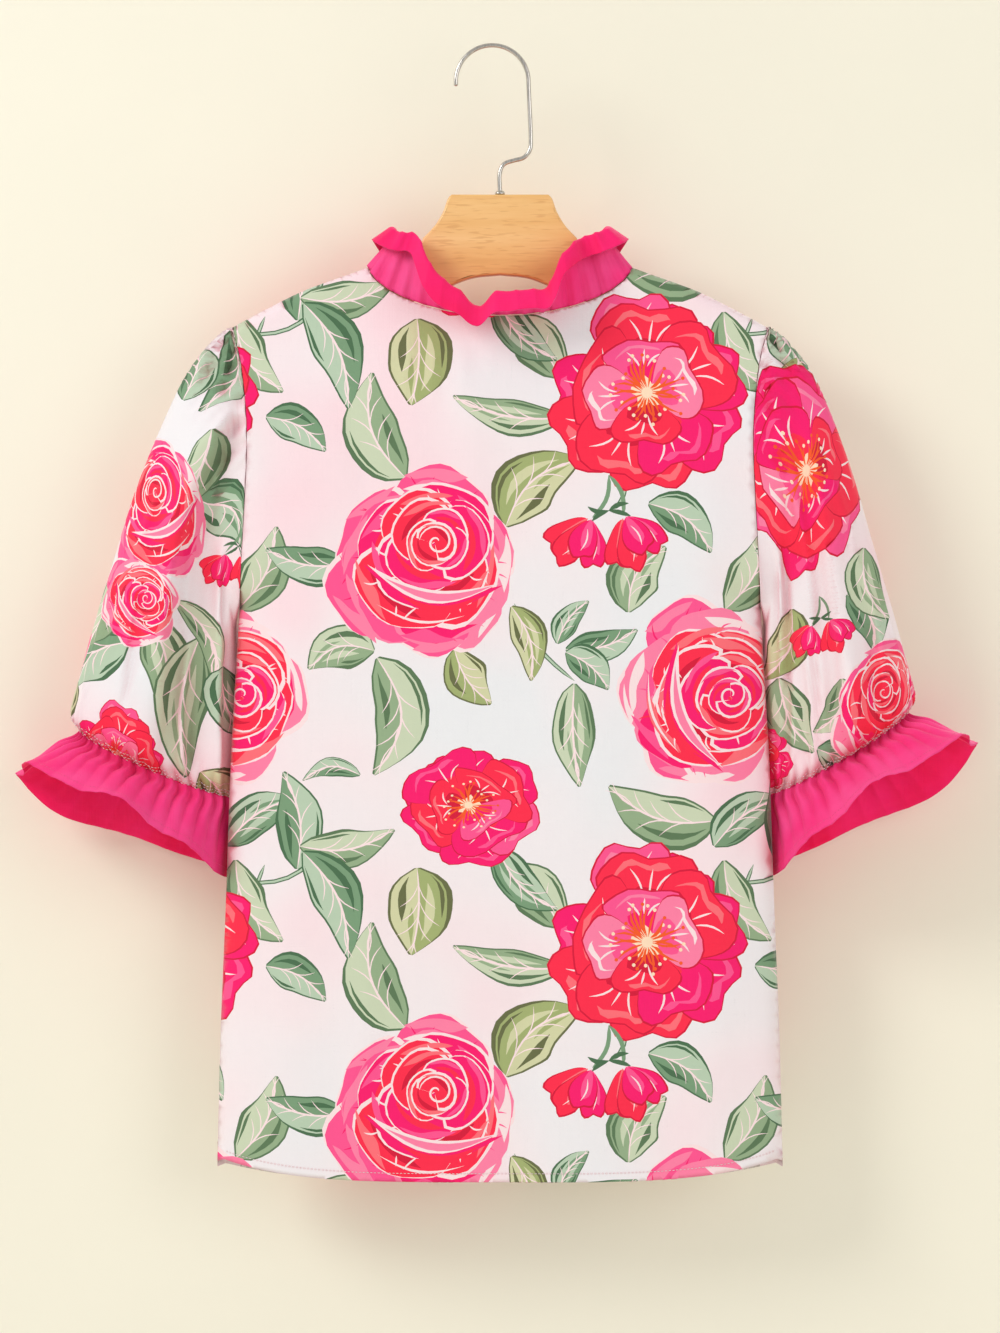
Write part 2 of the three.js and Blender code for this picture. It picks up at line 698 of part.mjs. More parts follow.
// The wooden body's outline on one side: block, shoulder and arm
function hangerGeometry() {
  const upper = (x) => shoulderLine(x) - WOOD_DROP - CLOTH;
  const right = WOOD_BLOCK.map(({ x, below }) => [x, BLOCK_TOP - below]);
  for (const x of evenly(66, ARM_END - 9, 6)) right.push([x, upper(x)]);
  for (const { past, below } of WOOD_TIP) right.push([ARM_END + past, upper(ARM_END) - below]);
  for (const x of evenly(ARM_END - 6, 8, 9)) right.push([x, woodUnderside(x)]);
  const left = right.map(([x, z]) => [-x, z]).reverse();
  const shape = new THREE.Shape([...right, ...left].map(([x, z]) => new THREE.Vector2(x, z)));
  const geometry = new THREE.ExtrudeGeometry(shape, {
    depth: WOOD_THICK - 2 * WOOD_ROUND,
    bevelEnabled: true,
    bevelThickness: WOOD_ROUND,
    bevelSize: WOOD_ROUND - 0.6,
    bevelOffset: -(WOOD_ROUND - 0.6),
    bevelSegments: 2,
  });
  geometry.rotateX(Math.PI / 2);
  geometry.translate(0, WOOD_THICK / 2 - WOOD_ROUND, 0);
  return geometry;
}

// The hook: a half round bend over the rail, a straight leg and a crank back to the stem
function hookGeometry() {
  const centre = -(BEND_R - WIRE_R);
  const points = [];
  for (let degrees = 184; degrees >= -4; degrees -= 12) {
    const a = radians(degrees);
    points.push([BEND_R * Math.cos(a), centre + BEND_R * Math.sin(a)]);
  }
  points.push([LEG_X - 0.6, -48], [LEG_X, CRANK_Z + 12], [LEG_X - 0.6, CRANK_Z + 4]);
  points.push([LEG_X - 5, CRANK_Z - 1.5], [STEM_X + 10, CRANK_Z - 3.5], [STEM_X + 3, CRANK_Z - 6]);
  points.push([STEM_X, CRANK_Z - 11.5], [STEM_X, BLOCK_TOP + 3.5]);
  const path = new THREE.CatmullRomCurve3(
    points.map(([x, z]) => new THREE.Vector3(x, 0, z)),
    false,
    "centripetal",
  );
  const sides = 8;
  const section = new THREE.Shape(
    Array.from({ length: sides }, (_, k) => {
      const a = (2 * Math.PI * (k + 0.5)) / sides;
      return new THREE.Vector2(WIRE_R * Math.cos(a), WIRE_R * Math.sin(a));
    }),
  );
  return new THREE.ExtrudeGeometry(section, { steps: 44, extrudePath: path, bevelEnabled: false });
}

// The collar nut that the hook turns in, seated on the wood
function nutGeometry() {
  const profile = [
    [0, 0],
    [3.6, 0],
    [3.6, 1.4],
    [2.4, 2.8],
    [0, 2.8],
  ];
  const geometry = new THREE.LatheGeometry(
    profile.map(([r, h]) => new THREE.Vector2(r, h)),
    16,
  );
  geometry.rotateX(Math.PI / 2);
  geometry.translate(0, 0, BLOCK_TOP + SEAM_GAP);
  return geometry;
}

// Assembly

const blouse = new THREE.Group();
blouse.position.x = STEM_X;
blouse.add(piece("back_panel", panelGeometry(BACK), FLORAL));
blouse.add(piece("front_panel", panelGeometry(FRONT), FLORAL));
for (const sleeve of SLEEVES) {
  const rows = sleeveRows(sleeve);
  const frill = frillRows(sleeve, rows.at(-1));
  const wall = (grid) => clothWall(onSide(grid, sleeve.sign), true);
  blouse.add(piece(`sleeve_${sleeve.side}`, wall(rows), FLORAL));
  blouse.add(piece(`cuff_frill_${sleeve.side}`, wall(frill), PINK));
}
blouse.add(piece("collar_frill", collarGeometry(), PINK));

const hanger = new THREE.Group();
hanger.add(piece("hanger_wood", hangerGeometry(), BEECH, STEM_X));
hanger.add(piece("hanger_hook", hookGeometry(), STEEL));
hanger.add(piece("hook_nut", nutGeometry(), STEEL, STEM_X));

const root = new THREE.Group();
root.add(blouse, hanger);

export default root;
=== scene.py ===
"""Looks of a floral blouse with pink frills on a wooden hanger, around its fixed frame.

Sizes are in millimetres, measured from the inner top of the hook, and go to metres as meshes are made.
The camera looks along +Y at the blouse's back. Every cloth piece is a thin shell on its solid's form.
"""

import math

import bmesh
import bpy
import numpy as np
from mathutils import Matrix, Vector
from mathutils.bvhtree import BVHTree
from mathutils.geometry import delaunay_2d_cdt


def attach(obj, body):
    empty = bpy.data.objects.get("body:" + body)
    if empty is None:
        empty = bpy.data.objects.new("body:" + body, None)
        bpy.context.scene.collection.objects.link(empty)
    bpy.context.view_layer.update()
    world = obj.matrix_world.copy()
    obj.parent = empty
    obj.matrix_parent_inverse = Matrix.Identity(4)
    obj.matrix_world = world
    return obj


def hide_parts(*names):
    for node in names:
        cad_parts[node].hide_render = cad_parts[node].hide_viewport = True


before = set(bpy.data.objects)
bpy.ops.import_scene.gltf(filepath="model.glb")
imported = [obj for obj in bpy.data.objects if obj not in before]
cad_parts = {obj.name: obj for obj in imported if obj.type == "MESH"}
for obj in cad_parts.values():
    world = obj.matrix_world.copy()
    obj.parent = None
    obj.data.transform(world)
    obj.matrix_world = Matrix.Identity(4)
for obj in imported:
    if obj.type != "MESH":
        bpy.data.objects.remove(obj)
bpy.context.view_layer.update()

bl_info = {
    "name": "Floral blouse on a hanger",
    "version": (1, 0, 0),
    "blender": (4, 5, 0),
    "location": "3D View > Sidebar > Blouse",
    "description": "Builds the printed cloth, frills, stitching and hanger of a blouse around its frame",
    "category": "Object",
}

MM = 0.001
BODY = "root"

# Hanger, as in the frame
STEM_X = 5.5  # the middle of the blouse stands beside the hook's centre
WIRE_R = 1.6
BEND_R = 25.6
LEG_X = 27.2
CRANK_Z = -76
BLOCK_TOP = -104
WOOD_THICK = 12
WOOD_ROUND = 1.6
WOOD_DROP = 3.3
CLOTH_WALL = 1.2  # thickness of the frame's cloth walls

# Body of the blouse, with x measured from its middle
NECK_X = 93
NECK_Z = -155
NECK_DROP = 35
V_DROP = 178
TIP_X = 188
UNDERARM_Z = -395
HEM_Z = -797
HEM_RISE = 13
FRONT_LONGER = 4
SHOULDER_R = 9
BACK_DEPTH = 20
FRONT_DEPTH = 19
ARMHOLE_DEPTH = 15
UNDERARM_ROUND = 34
DEPTH_REACH = 130
HALF_GAP = 0.15
SEAM_GAP = 0.3
HEM_FOLD = 6.5  # depth of the turned hem
CAP_GATHERS = 38
CUFF_GATHERS = 38
COLLAR_GATHERS = 50


def table(columns, *rows):
    """A short table as arrays by column name, sorted by its first column."""
    names = columns.split()
    ordered = sorted(rows)
    return {name: np.array([row[k] for row in ordered], float) for k, name in enumerate(names)}


def listed(columns, *rows):
    """A short table as rows, each with its values by column name."""
    names = columns.split()
    return [dict(zip(names, row)) for row in rows]


def curve(rows, by, column):
    """A smooth curve through a table's rows, read by one column and giving another."""
    order = np.argsort(rows[by])
    at, value = rows[by][order], rows[column][order]
    before, after = np.maximum(np.arange(len(at)) - 1, 0), np.minimum(np.arange(len(at)) + 1, len(at) - 1)
    slope = (value[after] - value[before]) / (at[after] - at[before])

    def read(x):
        x = np.clip(x, at[0], at[-1])
        i = np.clip(np.searchsorted(at, x, side="right") - 1, 0, len(at) - 2)
        span = at[i + 1] - at[i]
        t = (x - at[i]) / span
        t2, t3 = t * t, t * t * t
        return (
            (2 * t3 - 3 * t2 + 1) * value[i]
            + (t3 - 2 * t2 + t) * slope[i] * span
            + (3 * t2 - 2 * t3) * value[i + 1]
            + (t3 - t2) * slope[i + 1] * span
        )

    return read


SIDES = table(
    "z half",
    (-198, 188),
    (-225, 181.5),
    (-270, 177.5),
    (-320, 179),
    (-395, 183.5),
    (-500, 189.5),
    (-600, 193),
    (-700, 197),
    (-805, 199.5),
)
SHOULDERS = table(
    "x z", (0, -118), (50, -137.5), (93, -155), (136, -170.5), (160, -182), (188, -197), (200, -204)
)
half_width = curve(SIDES, "z", "half")
shoulder_line = curve(SHOULDERS, "x", "z")

# Soft upright folds of each panel: middle, width, depth and the heights between which they run
BACK_FOLDS = listed(
    "x width depth top low",
    (-150, 22, 1.6, -330, -800),
    (-20, 16, 1.4, -200, -420),
    (62, 30, 1.8, -420, -800),
    (150, 20, 2.0, -280, -800),
)
FRONT_FOLDS = listed(
    "x width depth top low",
    (-120, 26, 3.0, -260, -800),
    (-40, 24, -3.0, -380, -800),
    (45, 24, 3.0, -360, -800),
    (125, 26, -2.5, -300, -800),
)

# Fine creases of each panel: a soft line between two points, with its width and height
BACK_CREASES = listed(
    "start end width height",
    ((-62, -196), (-70, -246), 3.4, 1.1),
    ((-48, -200), (-50, -262), 3.0, 0.9),
    ((-30, -203), (-26, -248), 3.2, 1.0),
    ((-10, -203), (-6, -236), 2.8, 0.7),
    ((34, -198), (42, -240), 3.2, 0.8),
    ((-176, -255), (-172, -420), 5.0, 1.4),
    ((176, -262), (178, -410), 5.0, 1.3),
    ((-170, -420), (-178, -640), 7.0, 1.1),
    ((-118, -240), (-90, -330), 9.0, -0.9),
    ((132, -215), (96, -300), 9.0, -0.8),
    ((176, -480), (186, -770), 8.0, 1.2),
    ((-96, -560), (-110, -790), 12.0, 0.9),
    ((8, -600), (14, -792), 12.0, -0.8),
)
FRONT_CREASES = listed(
    "start end width height",
    ((-70, -230), (-110, -330), 6.0, 1.3),
    ((70, -226), (104, -320), 6.0, 1.2),
    ((-20, -345), (-30, -480), 6.0, 1.2),
    ((16, -345), (22, -500), 6.5, 1.2),
    ((-172, -300), (-150, -430), 7.0, 1.4),
    ((172, -300), (152, -440), 7.0, 1.4),
    ((-90, -520), (-96, -790), 10.0, 1.2),
    ((88, -540), (92, -792), 10.0, -1.2),
)
BODY_CREASE = 1.6  # the creases' height against their tables

# The sleeve's outer edge from the shoulder tip to the cuff, its inner edge from the underarm, and its puff
OUTER_EDGE = table(
    "v x z",
    (0, 188.4, -197.4),
    (0.04, 200, -202.5),
    (0.1, 213, -217.5),
    (0.17, 225, -238),
    (0.27, 239, -270),
    (0.4, 254, -311),
    (0.55, 268, -358),
    (0.7, 281, -402),
    (0.83, 291, -439),
    (0.91, 296, -459),
    (0.96, 297, -471),
    (1, 291, -480),
)
INNER_EDGE = table(
    "v x y z",
    (0, 183.9, 0, -395.4),
    (0.1, 186.3, 6, -408),
    (0.22, 184.5, 13, -424),
    (0.4, 182, 19, -447),
    (0.7, 180, 24, -488),
    (1, 178, 26, -528),
)
PUFF = table(
    "v depth drop", (0, 15, 0), (0.15, 20, 0), (0.5, 26, 2), (0.8, 28, 7), (0.92, 26, 10), (1, 19, 9)
)
PUFF_START = 0.16
PUFF_BULGE = 0.7
OUTER_BEHIND = 8
CUFF_START = 0.96
outer_x, outer_z = curve(OUTER_EDGE, "v", "x"), curve(OUTER_EDGE, "v", "z")
inner_x, inner_y, inner_z = (curve(INNER_EDGE, "v", name) for name in "xyz")
puff_depth, puff_drop = curve(PUFF, "v", "depth"), curve(PUFF, "v", "drop")

# Long folds of the sleeves, at an angle in degrees round them from the outer edge by the back
SLEEVE_FOLDS = listed(
    "angle drift width depth",
    (66, 14, 13, 5.5),
    (104, 8, 11, -4.5),
    (140, -4, 11, 3.0),
    (235, 0, 16, 4.0),
    (290, 0, 15, -4.0),
)
# Finer creases of the sleeves: angle where they start and end, and the stretch of the sleeve's length
SLEEVE_CREASES = listed(
    "start end from to width height",
    (112, 128, 0.06, 0.62, 4.0, 2.4),
    (84, 92, 0.10, 0.55, 4.5, 2.0),
    (50, 40, 0.16, 0.80, 4.0, 1.4),
    (150, 152, 0.20, 0.98, 4.5, 2.0),
    (98, 108, 0.45, 0.99, 3.5, 1.8),
    (30, 22, 0.50, 0.99, 4.0, 1.3),
    (126, 132, 0.60, 0.99, 3.2, 1.5),
    (72, 62, 0.66, 0.99, 3.0, 1.3),
    (215, 205, 0.10, 0.70, 5.0, 2.0),
    (262, 270, 0.12, 0.90, 5.0, 1.8),
    (310, 322, 0.15, 0.80, 5.0, 1.6),
    (240, 250, 0.55, 0.99, 4.0, 1.5),
)
SLEEVE_CREASE = 1.5  # the creases' height against their table
# Folds of each sleeve's near side, along a path of distances from the middle and heights. Each stands up
# steeply on its inner side, with a soft hollow beside it, and falls off slowly on its outer side.
LEFT_FOLDS = listed(
    "path width height",
    (((182, -236), (213, -306), (229, -362), (237, -422), (243, -500)), 22, 6.0),
    (((195, -400), (199, -440), (201, -520)), 13, 3.0),
    (((252, -370), (262, -425), (268, -476)), 14, 2.4),
    (((187, -204), (193, -226), (198, -252)), 6, 2.6),
    (((191, -201), (203, -217), (213, -240)), 6, 2.4),
    (((196, -201), (211, -210), (224, -226)), 6, 1.8),
    (((186, -252), (196, -284), (205, -330)), 8, 1.8),
    (((220, -430), (223, -470), (222, -510)), 8, 2.0),
)
RIGHT_FOLDS = listed(
    "path width height",
    (((214, -262), (227, -329), (235, -390), (241, -434), (245, -500)), 20, 5.0),
    (((204, -360), (207, -422), (206, -520)), 14, 3.4),
    (((186, -206), (190, -232), (193, -264)), 6, 2.4),
    (((190, -201), (200, -214), (209, -236)), 6, 2.6),
    (((195, -200), (209, -208), (220, -224)), 6, 1.8),
    (((188, -262), (202, -296), (208, -340)), 9, 2.2),
    (((262, -400), (267, -436), (270, -470)), 10, 2.0),
    (((224, -420), (226, -460), (226, -500)), 8, 1.8),
)
FOLD_HEIGHT = 1.3  # the folds' height against their tables
SLEEVES = listed(
    "side sign spread lift folds",
    ("left", -1, 1.045, 0, LEFT_FOLDS),
    ("right", 1, 0.955, 13, RIGHT_FOLDS),
)

# Cuff frill: how far it reaches at each angle, and which way it lies
CUFF_FRILL = table(
    "angle reach out toward down",
    (0, 50, 0.84, -0.2, 0.48),
    (24, 52, 0.6, -0.62, 0.46),
    (45, 54, 0.38, -0.84, 0.4),
    (90, 55, 0.14, -0.84, 0.5),
    (125, 55, 0.12, -0.58, 0.76),
    (150, 56, 0.1, -0.02, 1),
    (180, 56, -0.02, 0.06, 1),
    (225, 60, 0.06, 0.2, 0.98),
    (262, 60, 0.2, 0.18, 0.96),
    (285, 62, 0.36, 0.18, 0.94),
    (315, 65, 0.66, 0.14, 0.76),
    (340, 60, 0.9, 0.08, 0.6),
    (360, 50, 0.84, -0.2, 0.48),
)
CUFF_WAVES = 7
CUFF_WAVE_DEPTH = 6
CUFF_WAVE_START = 5.2
CUFF_WAVE_CALM = 45
CUFF_WAVE_FREE = 100
FRILL_LIFT = 60
FRILL_PLEAT = 1.5  # half height of the frill's pleats beside its seam, in gather depths
frill_reach, frill_out, frill_toward, frill_down = (
    curve(CUFF_FRILL, "angle", name) for name in ("reach", "out", "toward", "down")
)

# Collar frill along the neck: it rises leaning outwards and falls back over itself
COLLAR = table(
    "at rise lean fall width",
    (-93, 30, 4, 168, 54),
    (-84, 36, 6, 166, 58),
    (-70, 41, 14, 166, 62),
    (-56, 33, 26, 164, 58),
    (-42, 27, 42, 158, 54),
    (-27, 23, 64, 150, 48),
    (-14, 21, 84, 144, 44),
    (-3, 24, 50, 148, 48),
    (14, 25, 58, 146, 48),
    (32, 24, 61, 145, 48),
    (45, 36, 24, 158, 56),
    (59, 40, 16, 166, 61),
    (84, 36, 6, 166, 58),
    (93, 30, 4, 168, 54),
)
V_COLLAR = table(
    "z rise lean fall width",
    (-155, 30, 4, 168, 54),
    (-200, 27, 48, 150, 52),
    (-250, 24, 66, 145, 46),
    (-333, 24, 95, 152, 46),
)
COLLAR_WAVES = 13
COLLAR_WAVE_TILT = 7
COLLAR_BEND = 9
COLLAR_STAND = 0.6
COLLAR_PLEAT = 1.3

# Small helpers


def mix(a, b, t):
    return a + (b - a) * t


def ease(low, high, x):
    t = np.clip((x - low) / (high - low), 0, 1)
    return t * t * (3 - 2 * t)


def ridge(distance, width):
    return np.exp(-((distance / width) ** 2))


def unit(vectors):
    return vectors / np.maximum(np.linalg.norm(vectors, axis=-1, keepdims=True), 1e-9)


def pleats(x):
    """Rounded crests with tight valleys between them, from -1 to 1."""
    return 2 * np.abs(np.cos(x / 2)) ** 0.8 - 1


def unevenness(x, seed, waves=6):
    """A smooth uneven curve of about -1 to 1, the same on each run."""
    rng = np.random.default_rng(seed)
    total = np.zeros_like(np.asarray(x, float))
    for k in range(1, waves + 1):
        total += np.sin(k * np.asarray(x) * rng.uniform(0.8, 1.2) + rng.uniform(0, 2 * math.pi)) / k**0.7
    return total / 2.2


# Body panels


def quarter_round(share):
    return np.sqrt(np.maximum(0, 1 - (1 - np.clip(share, 0, 1)) ** 2))


def edge_depth(below):
    """The armhole's half depth at a distance below the shoulder."""
    armhole = mix(SHOULDER_R, ARMHOLE_DEPTH, ease(0, DEPTH_REACH / 2, below - SHOULDER_R))
    to_underarm = shoulder_line(TIP_X) - UNDERARM_Z - below
    return armhole * quarter_round(below / SHOULDER_R) * quarter_round(to_underarm / UNDERARM_ROUND)


def body_depth(x, z, full):
    """Distance of a panel from the middle plane."""
    s = np.minimum(1, np.abs(x) / half_width(z))
    below = shoulder_line(np.abs(x)) - z
    roll = quarter_round(below / SHOULDER_R)
    body = mix(SHOULDER_R, full, ease(0, DEPTH_REACH, below - SHOULDER_R))
    edge = edge_depth(below)
    roundness = mix(0.5, 1, edge / ARMHOLE_DEPTH)
    lens = (1 - s**4) ** roundness
    return HALF_GAP + edge + (roll * body - edge) * lens


def fold_relief(folds, x, z):
    total = np.zeros_like(x)
    for f in folds:
        reach = ease(f["top"] + 30, f["top"] - 60, z) * ease(f["low"] - 60, f["low"], z)
        total += f["depth"] * ridge(x - f["x"], f["width"]) * reach
    return total


def crease_relief(creases, x, z):
    """Soft creases, each highest in its middle and fading at both ends."""
    total = np.zeros_like(x)
    for c in creases:
        (x0, z0), (x1, z1) = c["start"], c["end"]
        length = math.hypot(x1 - x0, z1 - z0)
        along = ((x - x0) * (x1 - x0) + (z - z0) * (z1 - z0)) / length**2
        aside = ((x - x0) * (z1 - z0) - (z - z0) * (x1 - x0)) / length
        bend = 0.04 * length * np.sin(math.pi * np.clip(along, 0, 1))
        fade = ease(-0.05, 0.3, along) * ease(1.05, 0.6, along)
        total += BODY_CREASE * c["height"] * ridge(aside + bend, c["width"]) * fade
    return total


def hem_line(x):
    return HEM_Z + HEM_RISE * (np.abs(x) / TIP_X) ** 4


def back_neck(x):
    return NECK_Z - NECK_DROP * np.maximum(0, 1 - (x / NECK_X) ** 2) ** 0.6


def front_neck(x):
    return NECK_Z - V_DROP * np.maximum(0, 1 - np.abs(x) / NECK_X) ** 0.92


class Panel:
    """A body panel: its depth, neckline, hem and folds."""

    def __init__(self, facing, full, neck, longer, folds, creases, stations):
        self.facing = facing
        self.full = full
        self.neck = neck
        self.longer = longer
        self.folds = folds
        self.creases = creases
        self.stations = stations

    def hem(self, x):
        return hem_line(x) - self.longer

    def top(self, x):
        return np.where(np.abs(x) < NECK_X, self.neck(x), shoulder_line(np.abs(x)))

    def place(self, x, z):
        """Points of the panel's outside, in millimetres, from places across it and heights."""
        share = np.abs(x) / half_width(z)
        fade = 1 - np.minimum(1, share) ** 6
        roll = ease(2, 25, self.top(x) - z)
        fine = crease_relief(self.creases, x, z) * fade * roll
        hem = self.hem(x) - z
        turned = 0.3 * ease(-HEM_FOLD - 0.8, -HEM_FOLD + 0.4, hem)
        depth = body_depth(x, z, self.full) + fold_relief(self.folds, x, z) * fade + fine + turned * fade
        return np.stack([x + STEM_X, self.facing * depth, z], axis=-1)


BACK = Panel(
    -1,
    BACK_DEPTH,
    back_neck,
    0,
    BACK_FOLDS,
    BACK_CREASES,
    (0, 20, 38, 54, 68, 79, 87, 91.5, 93),
)
FRONT = Panel(
    1,
    FRONT_DEPTH,
    front_neck,
    FRONT_LONGER,
    FRONT_FOLDS,
    FRONT_CREASES,
    (0, 12, 30, 48, 66, 80, 88, 91.5, 93),
)

# Sleeves and their frills, worked out as on the right side and mirrored for the left


def armhole_point(angle):
    tip = shoulder_line(TIP_X) - 0.05
    z = mix(tip, UNDERARM_Z, (1 - np.cos(angle)) / 2)
    near = np.where(np.sin(angle) >= 0, -1, 1)
    return np.stack([half_width(z) + SEAM_GAP + 0.1, near * edge_depth(tip - z), z], axis=-1)


def sleeve_edges(sleeve, v):
    """The sleeve's outer and inner edge at a share of its length, as flat places across the view."""
    wide = TIP_X + (outer_x(v) - TIP_X) * mix(1, sleeve["spread"], ease(0, 0.5, v))
    outer = np.stack([wide, outer_z(v) + sleeve["lift"] * v * v], axis=-1)
    return outer, np.stack([inner_x(v), inner_z(v)], axis=-1)


def sleeve_form(sleeve, angle, v):
    """The sleeve's smooth form."""
    across = (1 - np.cos(angle)) / 2
    outer, inner = sleeve_edges(sleeve, v)
    middle = mix(OUTER_BEHIND * v, inner_y(v), across)
    turn = np.sin(angle)
    near = turn > 0
    point = np.stack(
        [
            mix(outer[..., 0], inner[..., 0], across),
            middle - turn * puff_depth(v),
            mix(outer[..., 1], inner[..., 1], across) - near * turn * puff_drop(v),
        ],
        axis=-1,
    )
    share = (ease(0, PUFF_START, v) ** PUFF_BULGE)[..., None]
    return mix(armhole_point(angle), point, share)


def outward(form, a, b, step_a, step_b):
    """Unit normals of a surface by small steps along its two directions."""
    along = form(a + step_a, b) - form(a - step_a, b)
    across = form(a, np.minimum(b + step_b, 1)) - form(a, np.maximum(b - step_b, 0))
    return unit(np.cross(along, across))


def sleeve_relief(angle, v, gather_depth):
    degrees = np.degrees(angle) % 360
    strength = ease(0.03, 0.3, v) * ease(1, 0.86, v)
    total = np.zeros_like(v)
    for f in SLEEVE_FOLDS:
        total += f["depth"] * ridge(degrees - f["angle"] - f["drift"] * v, f["width"]) * strength
    for c in SLEEVE_CREASES:
        along = (v - c["from"]) / (c["to"] - c["from"])
        middle = mix(c["start"], c["end"], np.clip(along, 0, 1)) + 1.5 * np.sin(9 * v + c["start"])
        fade = ease(0, 0.3, along) * ease(1.02, 0.8, along) * ease(1, 0.93, v)
        total += SLEEVE_CREASE * c["height"] * ridge(degrees - middle, c["width"]) * fade
    uneven = 1 + 0.35 * unevenness(angle, 5)
    from_edge = np.minimum(degrees, 360 - degrees)
    cap = np.cos(CAP_GATHERS * angle + 0.8 * unevenness(angle, 6)) * ease(105, 75, from_edge)
    total += 1.3 * cap * uneven * ease(0.2, 0.04, v) * ease(0, 0.02, v)
    cuff = 1.25 * pleats(CUFF_GATHERS * angle + 0.9 * unevenness(angle, 7))
    length = 0.86 + 0.05 * unevenness(2 * angle, 8)
    total += gather_depth * cuff * uneven * ease(length, 0.985, v)
    return total


def path_folds(folds, x, z):
    """Height of the steep-sided folds at places of the view."""
    total = np.zeros_like(x)
    for f in folds:
        path = np.array(f["path"], float)[::-1]
        aside = x - np.interp(z, path[:, 1], path[:, 0])
        along = (z - path[-1, 1]) / (path[0, 1] - path[-1, 1])
        steep = np.where(aside > 0, f["width"], 0.2 * f["width"])
        shape = ridge(aside, steep) - 0.4 * ridge(aside + 0.5 * f["width"], 0.35 * f["width"])
        total += FOLD_HEIGHT * f["height"] * shape * ease(-0.06, 0.2, along) * ease(1.1, 0.8, along)
    return total


def sleeve_place(sleeve, angle, v, gather_depth=1.0):
    """Points of the sleeve's outside, in millimetres."""

    def form(a, b):
        return sleeve_form(sleeve, a, b)

    normal = outward(form, angle, v, 0.02, 0.01)
    points = form(angle, v)
    near = ease(0, 0.4, np.sin(angle)) * ease(0, 0.06, v) * ease(1, 0.95, v)
    folds = path_folds(sleeve["folds"], points[..., 0], points[..., 2]) * near
    points = points + normal * (sleeve_relief(angle, v, gather_depth) + folds)[..., None]
    return on_side(points, sleeve["sign"])


def on_side(points, sign):
    """Right-side points on their own side of the blouse's middle."""
    placed = points * np.array([sign, 1, 1])
    placed[..., 0] += STEM_X
    return placed


def cuff_direction(sleeve):
    angle = np.arange(8) * math.pi / 4
    ends = [sleeve_form(sleeve, angle, np.full(8, v)) for v in (CUFF_START, 1.0)]
    return unit((ends[1] - ends[0]).sum(axis=0))


def frill_form(sleeve, angle, share):
    """The cuff frill's smooth form, with its large waves, from the cuff seam outwards."""
    degrees = np.degrees(angle) % 360
    lift = sleeve["lift"] / FRILL_LIFT * frill_out(degrees)
    direction = unit(
        np.stack([frill_out(degrees), frill_toward(degrees), lift - frill_down(degrees)], axis=-1)
    )
    away = cuff_direction(sleeve)
    lead = unit(mix(away, direction, ease(-0.3, 0.4, share)[..., None]))
    seam = sleeve_form(sleeve, angle, np.ones_like(angle)) + away * SEAM_GAP
    across = np.stack([np.cos(angle) * 0.6, -np.sin(angle), np.full_like(angle, 0.35)], axis=-1)
    across = unit(across - (across * direction).sum(axis=-1, keepdims=True) * direction)
    swell = CUFF_WAVE_DEPTH * (1 + 0.35 * unevenness(2 * angle, 11))
    swell = swell * ease(CUFF_WAVE_CALM, CUFF_WAVE_FREE, np.abs(degrees - 180))
    wave = np.sin(CUFF_WAVES * angle + CUFF_WAVE_START + 0.5 * unevenness(angle, 12)) * swell * share**2
    return seam + lead * (share * frill_reach(degrees))[..., None] + across * wave[..., None]


def frill_place(sleeve, angle, share, gather_depth=1.0):
    """Points of the cuff frill's outside, with its gathers, in millimetres."""

    def form(a, b):
        return frill_form(sleeve, a, b)

    normal = outward(form, angle, share, 0.02, 0.02)
    seam_away = cuff_direction(sleeve)
    first = (share < 0.02)[..., None] * np.maximum(0, (normal * seam_away).sum(axis=-1, keepdims=True))
    normal = unit(normal - first * seam_away)
    fine = pleats(CUFF_GATHERS * angle + 0.9 * unevenness(angle, 7))
    finer = pleats(2 * CUFF_GATHERS * angle + 1.5 * unevenness(angle, 13))
    uneven = 1 + 0.4 * unevenness(3 * angle, 14)
    fall = mix(1.0, 0.2, ease(0.1, 0.95, share)) * mix(0.75, 1.25, ease(0, 0.12, share))
    relief = FRILL_PLEAT * gather_depth * uneven * (fine * fall + 0.3 * finer * ease(0.6, 0.1, share))
    hem = 0.25 * ease(0.875, 0.9, share)
    return on_side(form(angle, share) + normal * (relief + hem)[..., None], sleeve["sign"])


# Collar frill


def neck_seam(columns):
    """The neck seam as evenly spaced points: along the back from left to right, then down and up the V."""

    def edge(panel):
        stations = np.array(panel.stations, float)
        stations = np.concatenate([-stations[:0:-1], stations])
        z = panel.neck(stations)
        x = stations * half_width(z) / TIP_X
        fade = 1 - (np.abs(x) / half_width(z)) ** 6
        depth = body_depth(x, z, panel.full) + fold_relief(panel.folds, x, z) * fade
        return np.stack([x, panel.facing * depth, z], axis=-1)

    line = np.concatenate([edge(BACK), edge(FRONT)[::-1]])
    line = np.concatenate([line, line[:1]])
    length = np.concatenate([[0], np.cumsum(np.linalg.norm(np.diff(line, axis=0), axis=1))])
    along = length[-1] * np.arange(columns) / columns
    return np.stack([np.interp(along, length, line[:, k]) for k in range(3)], axis=-1)


def soften(points, turns):
    """Evens out a closed line of points a little."""
    for _ in range(turns):
        points = 0.5 * points + 0.25 * (np.roll(points, 1, axis=0) + np.roll(points, -1, axis=0))
    return points


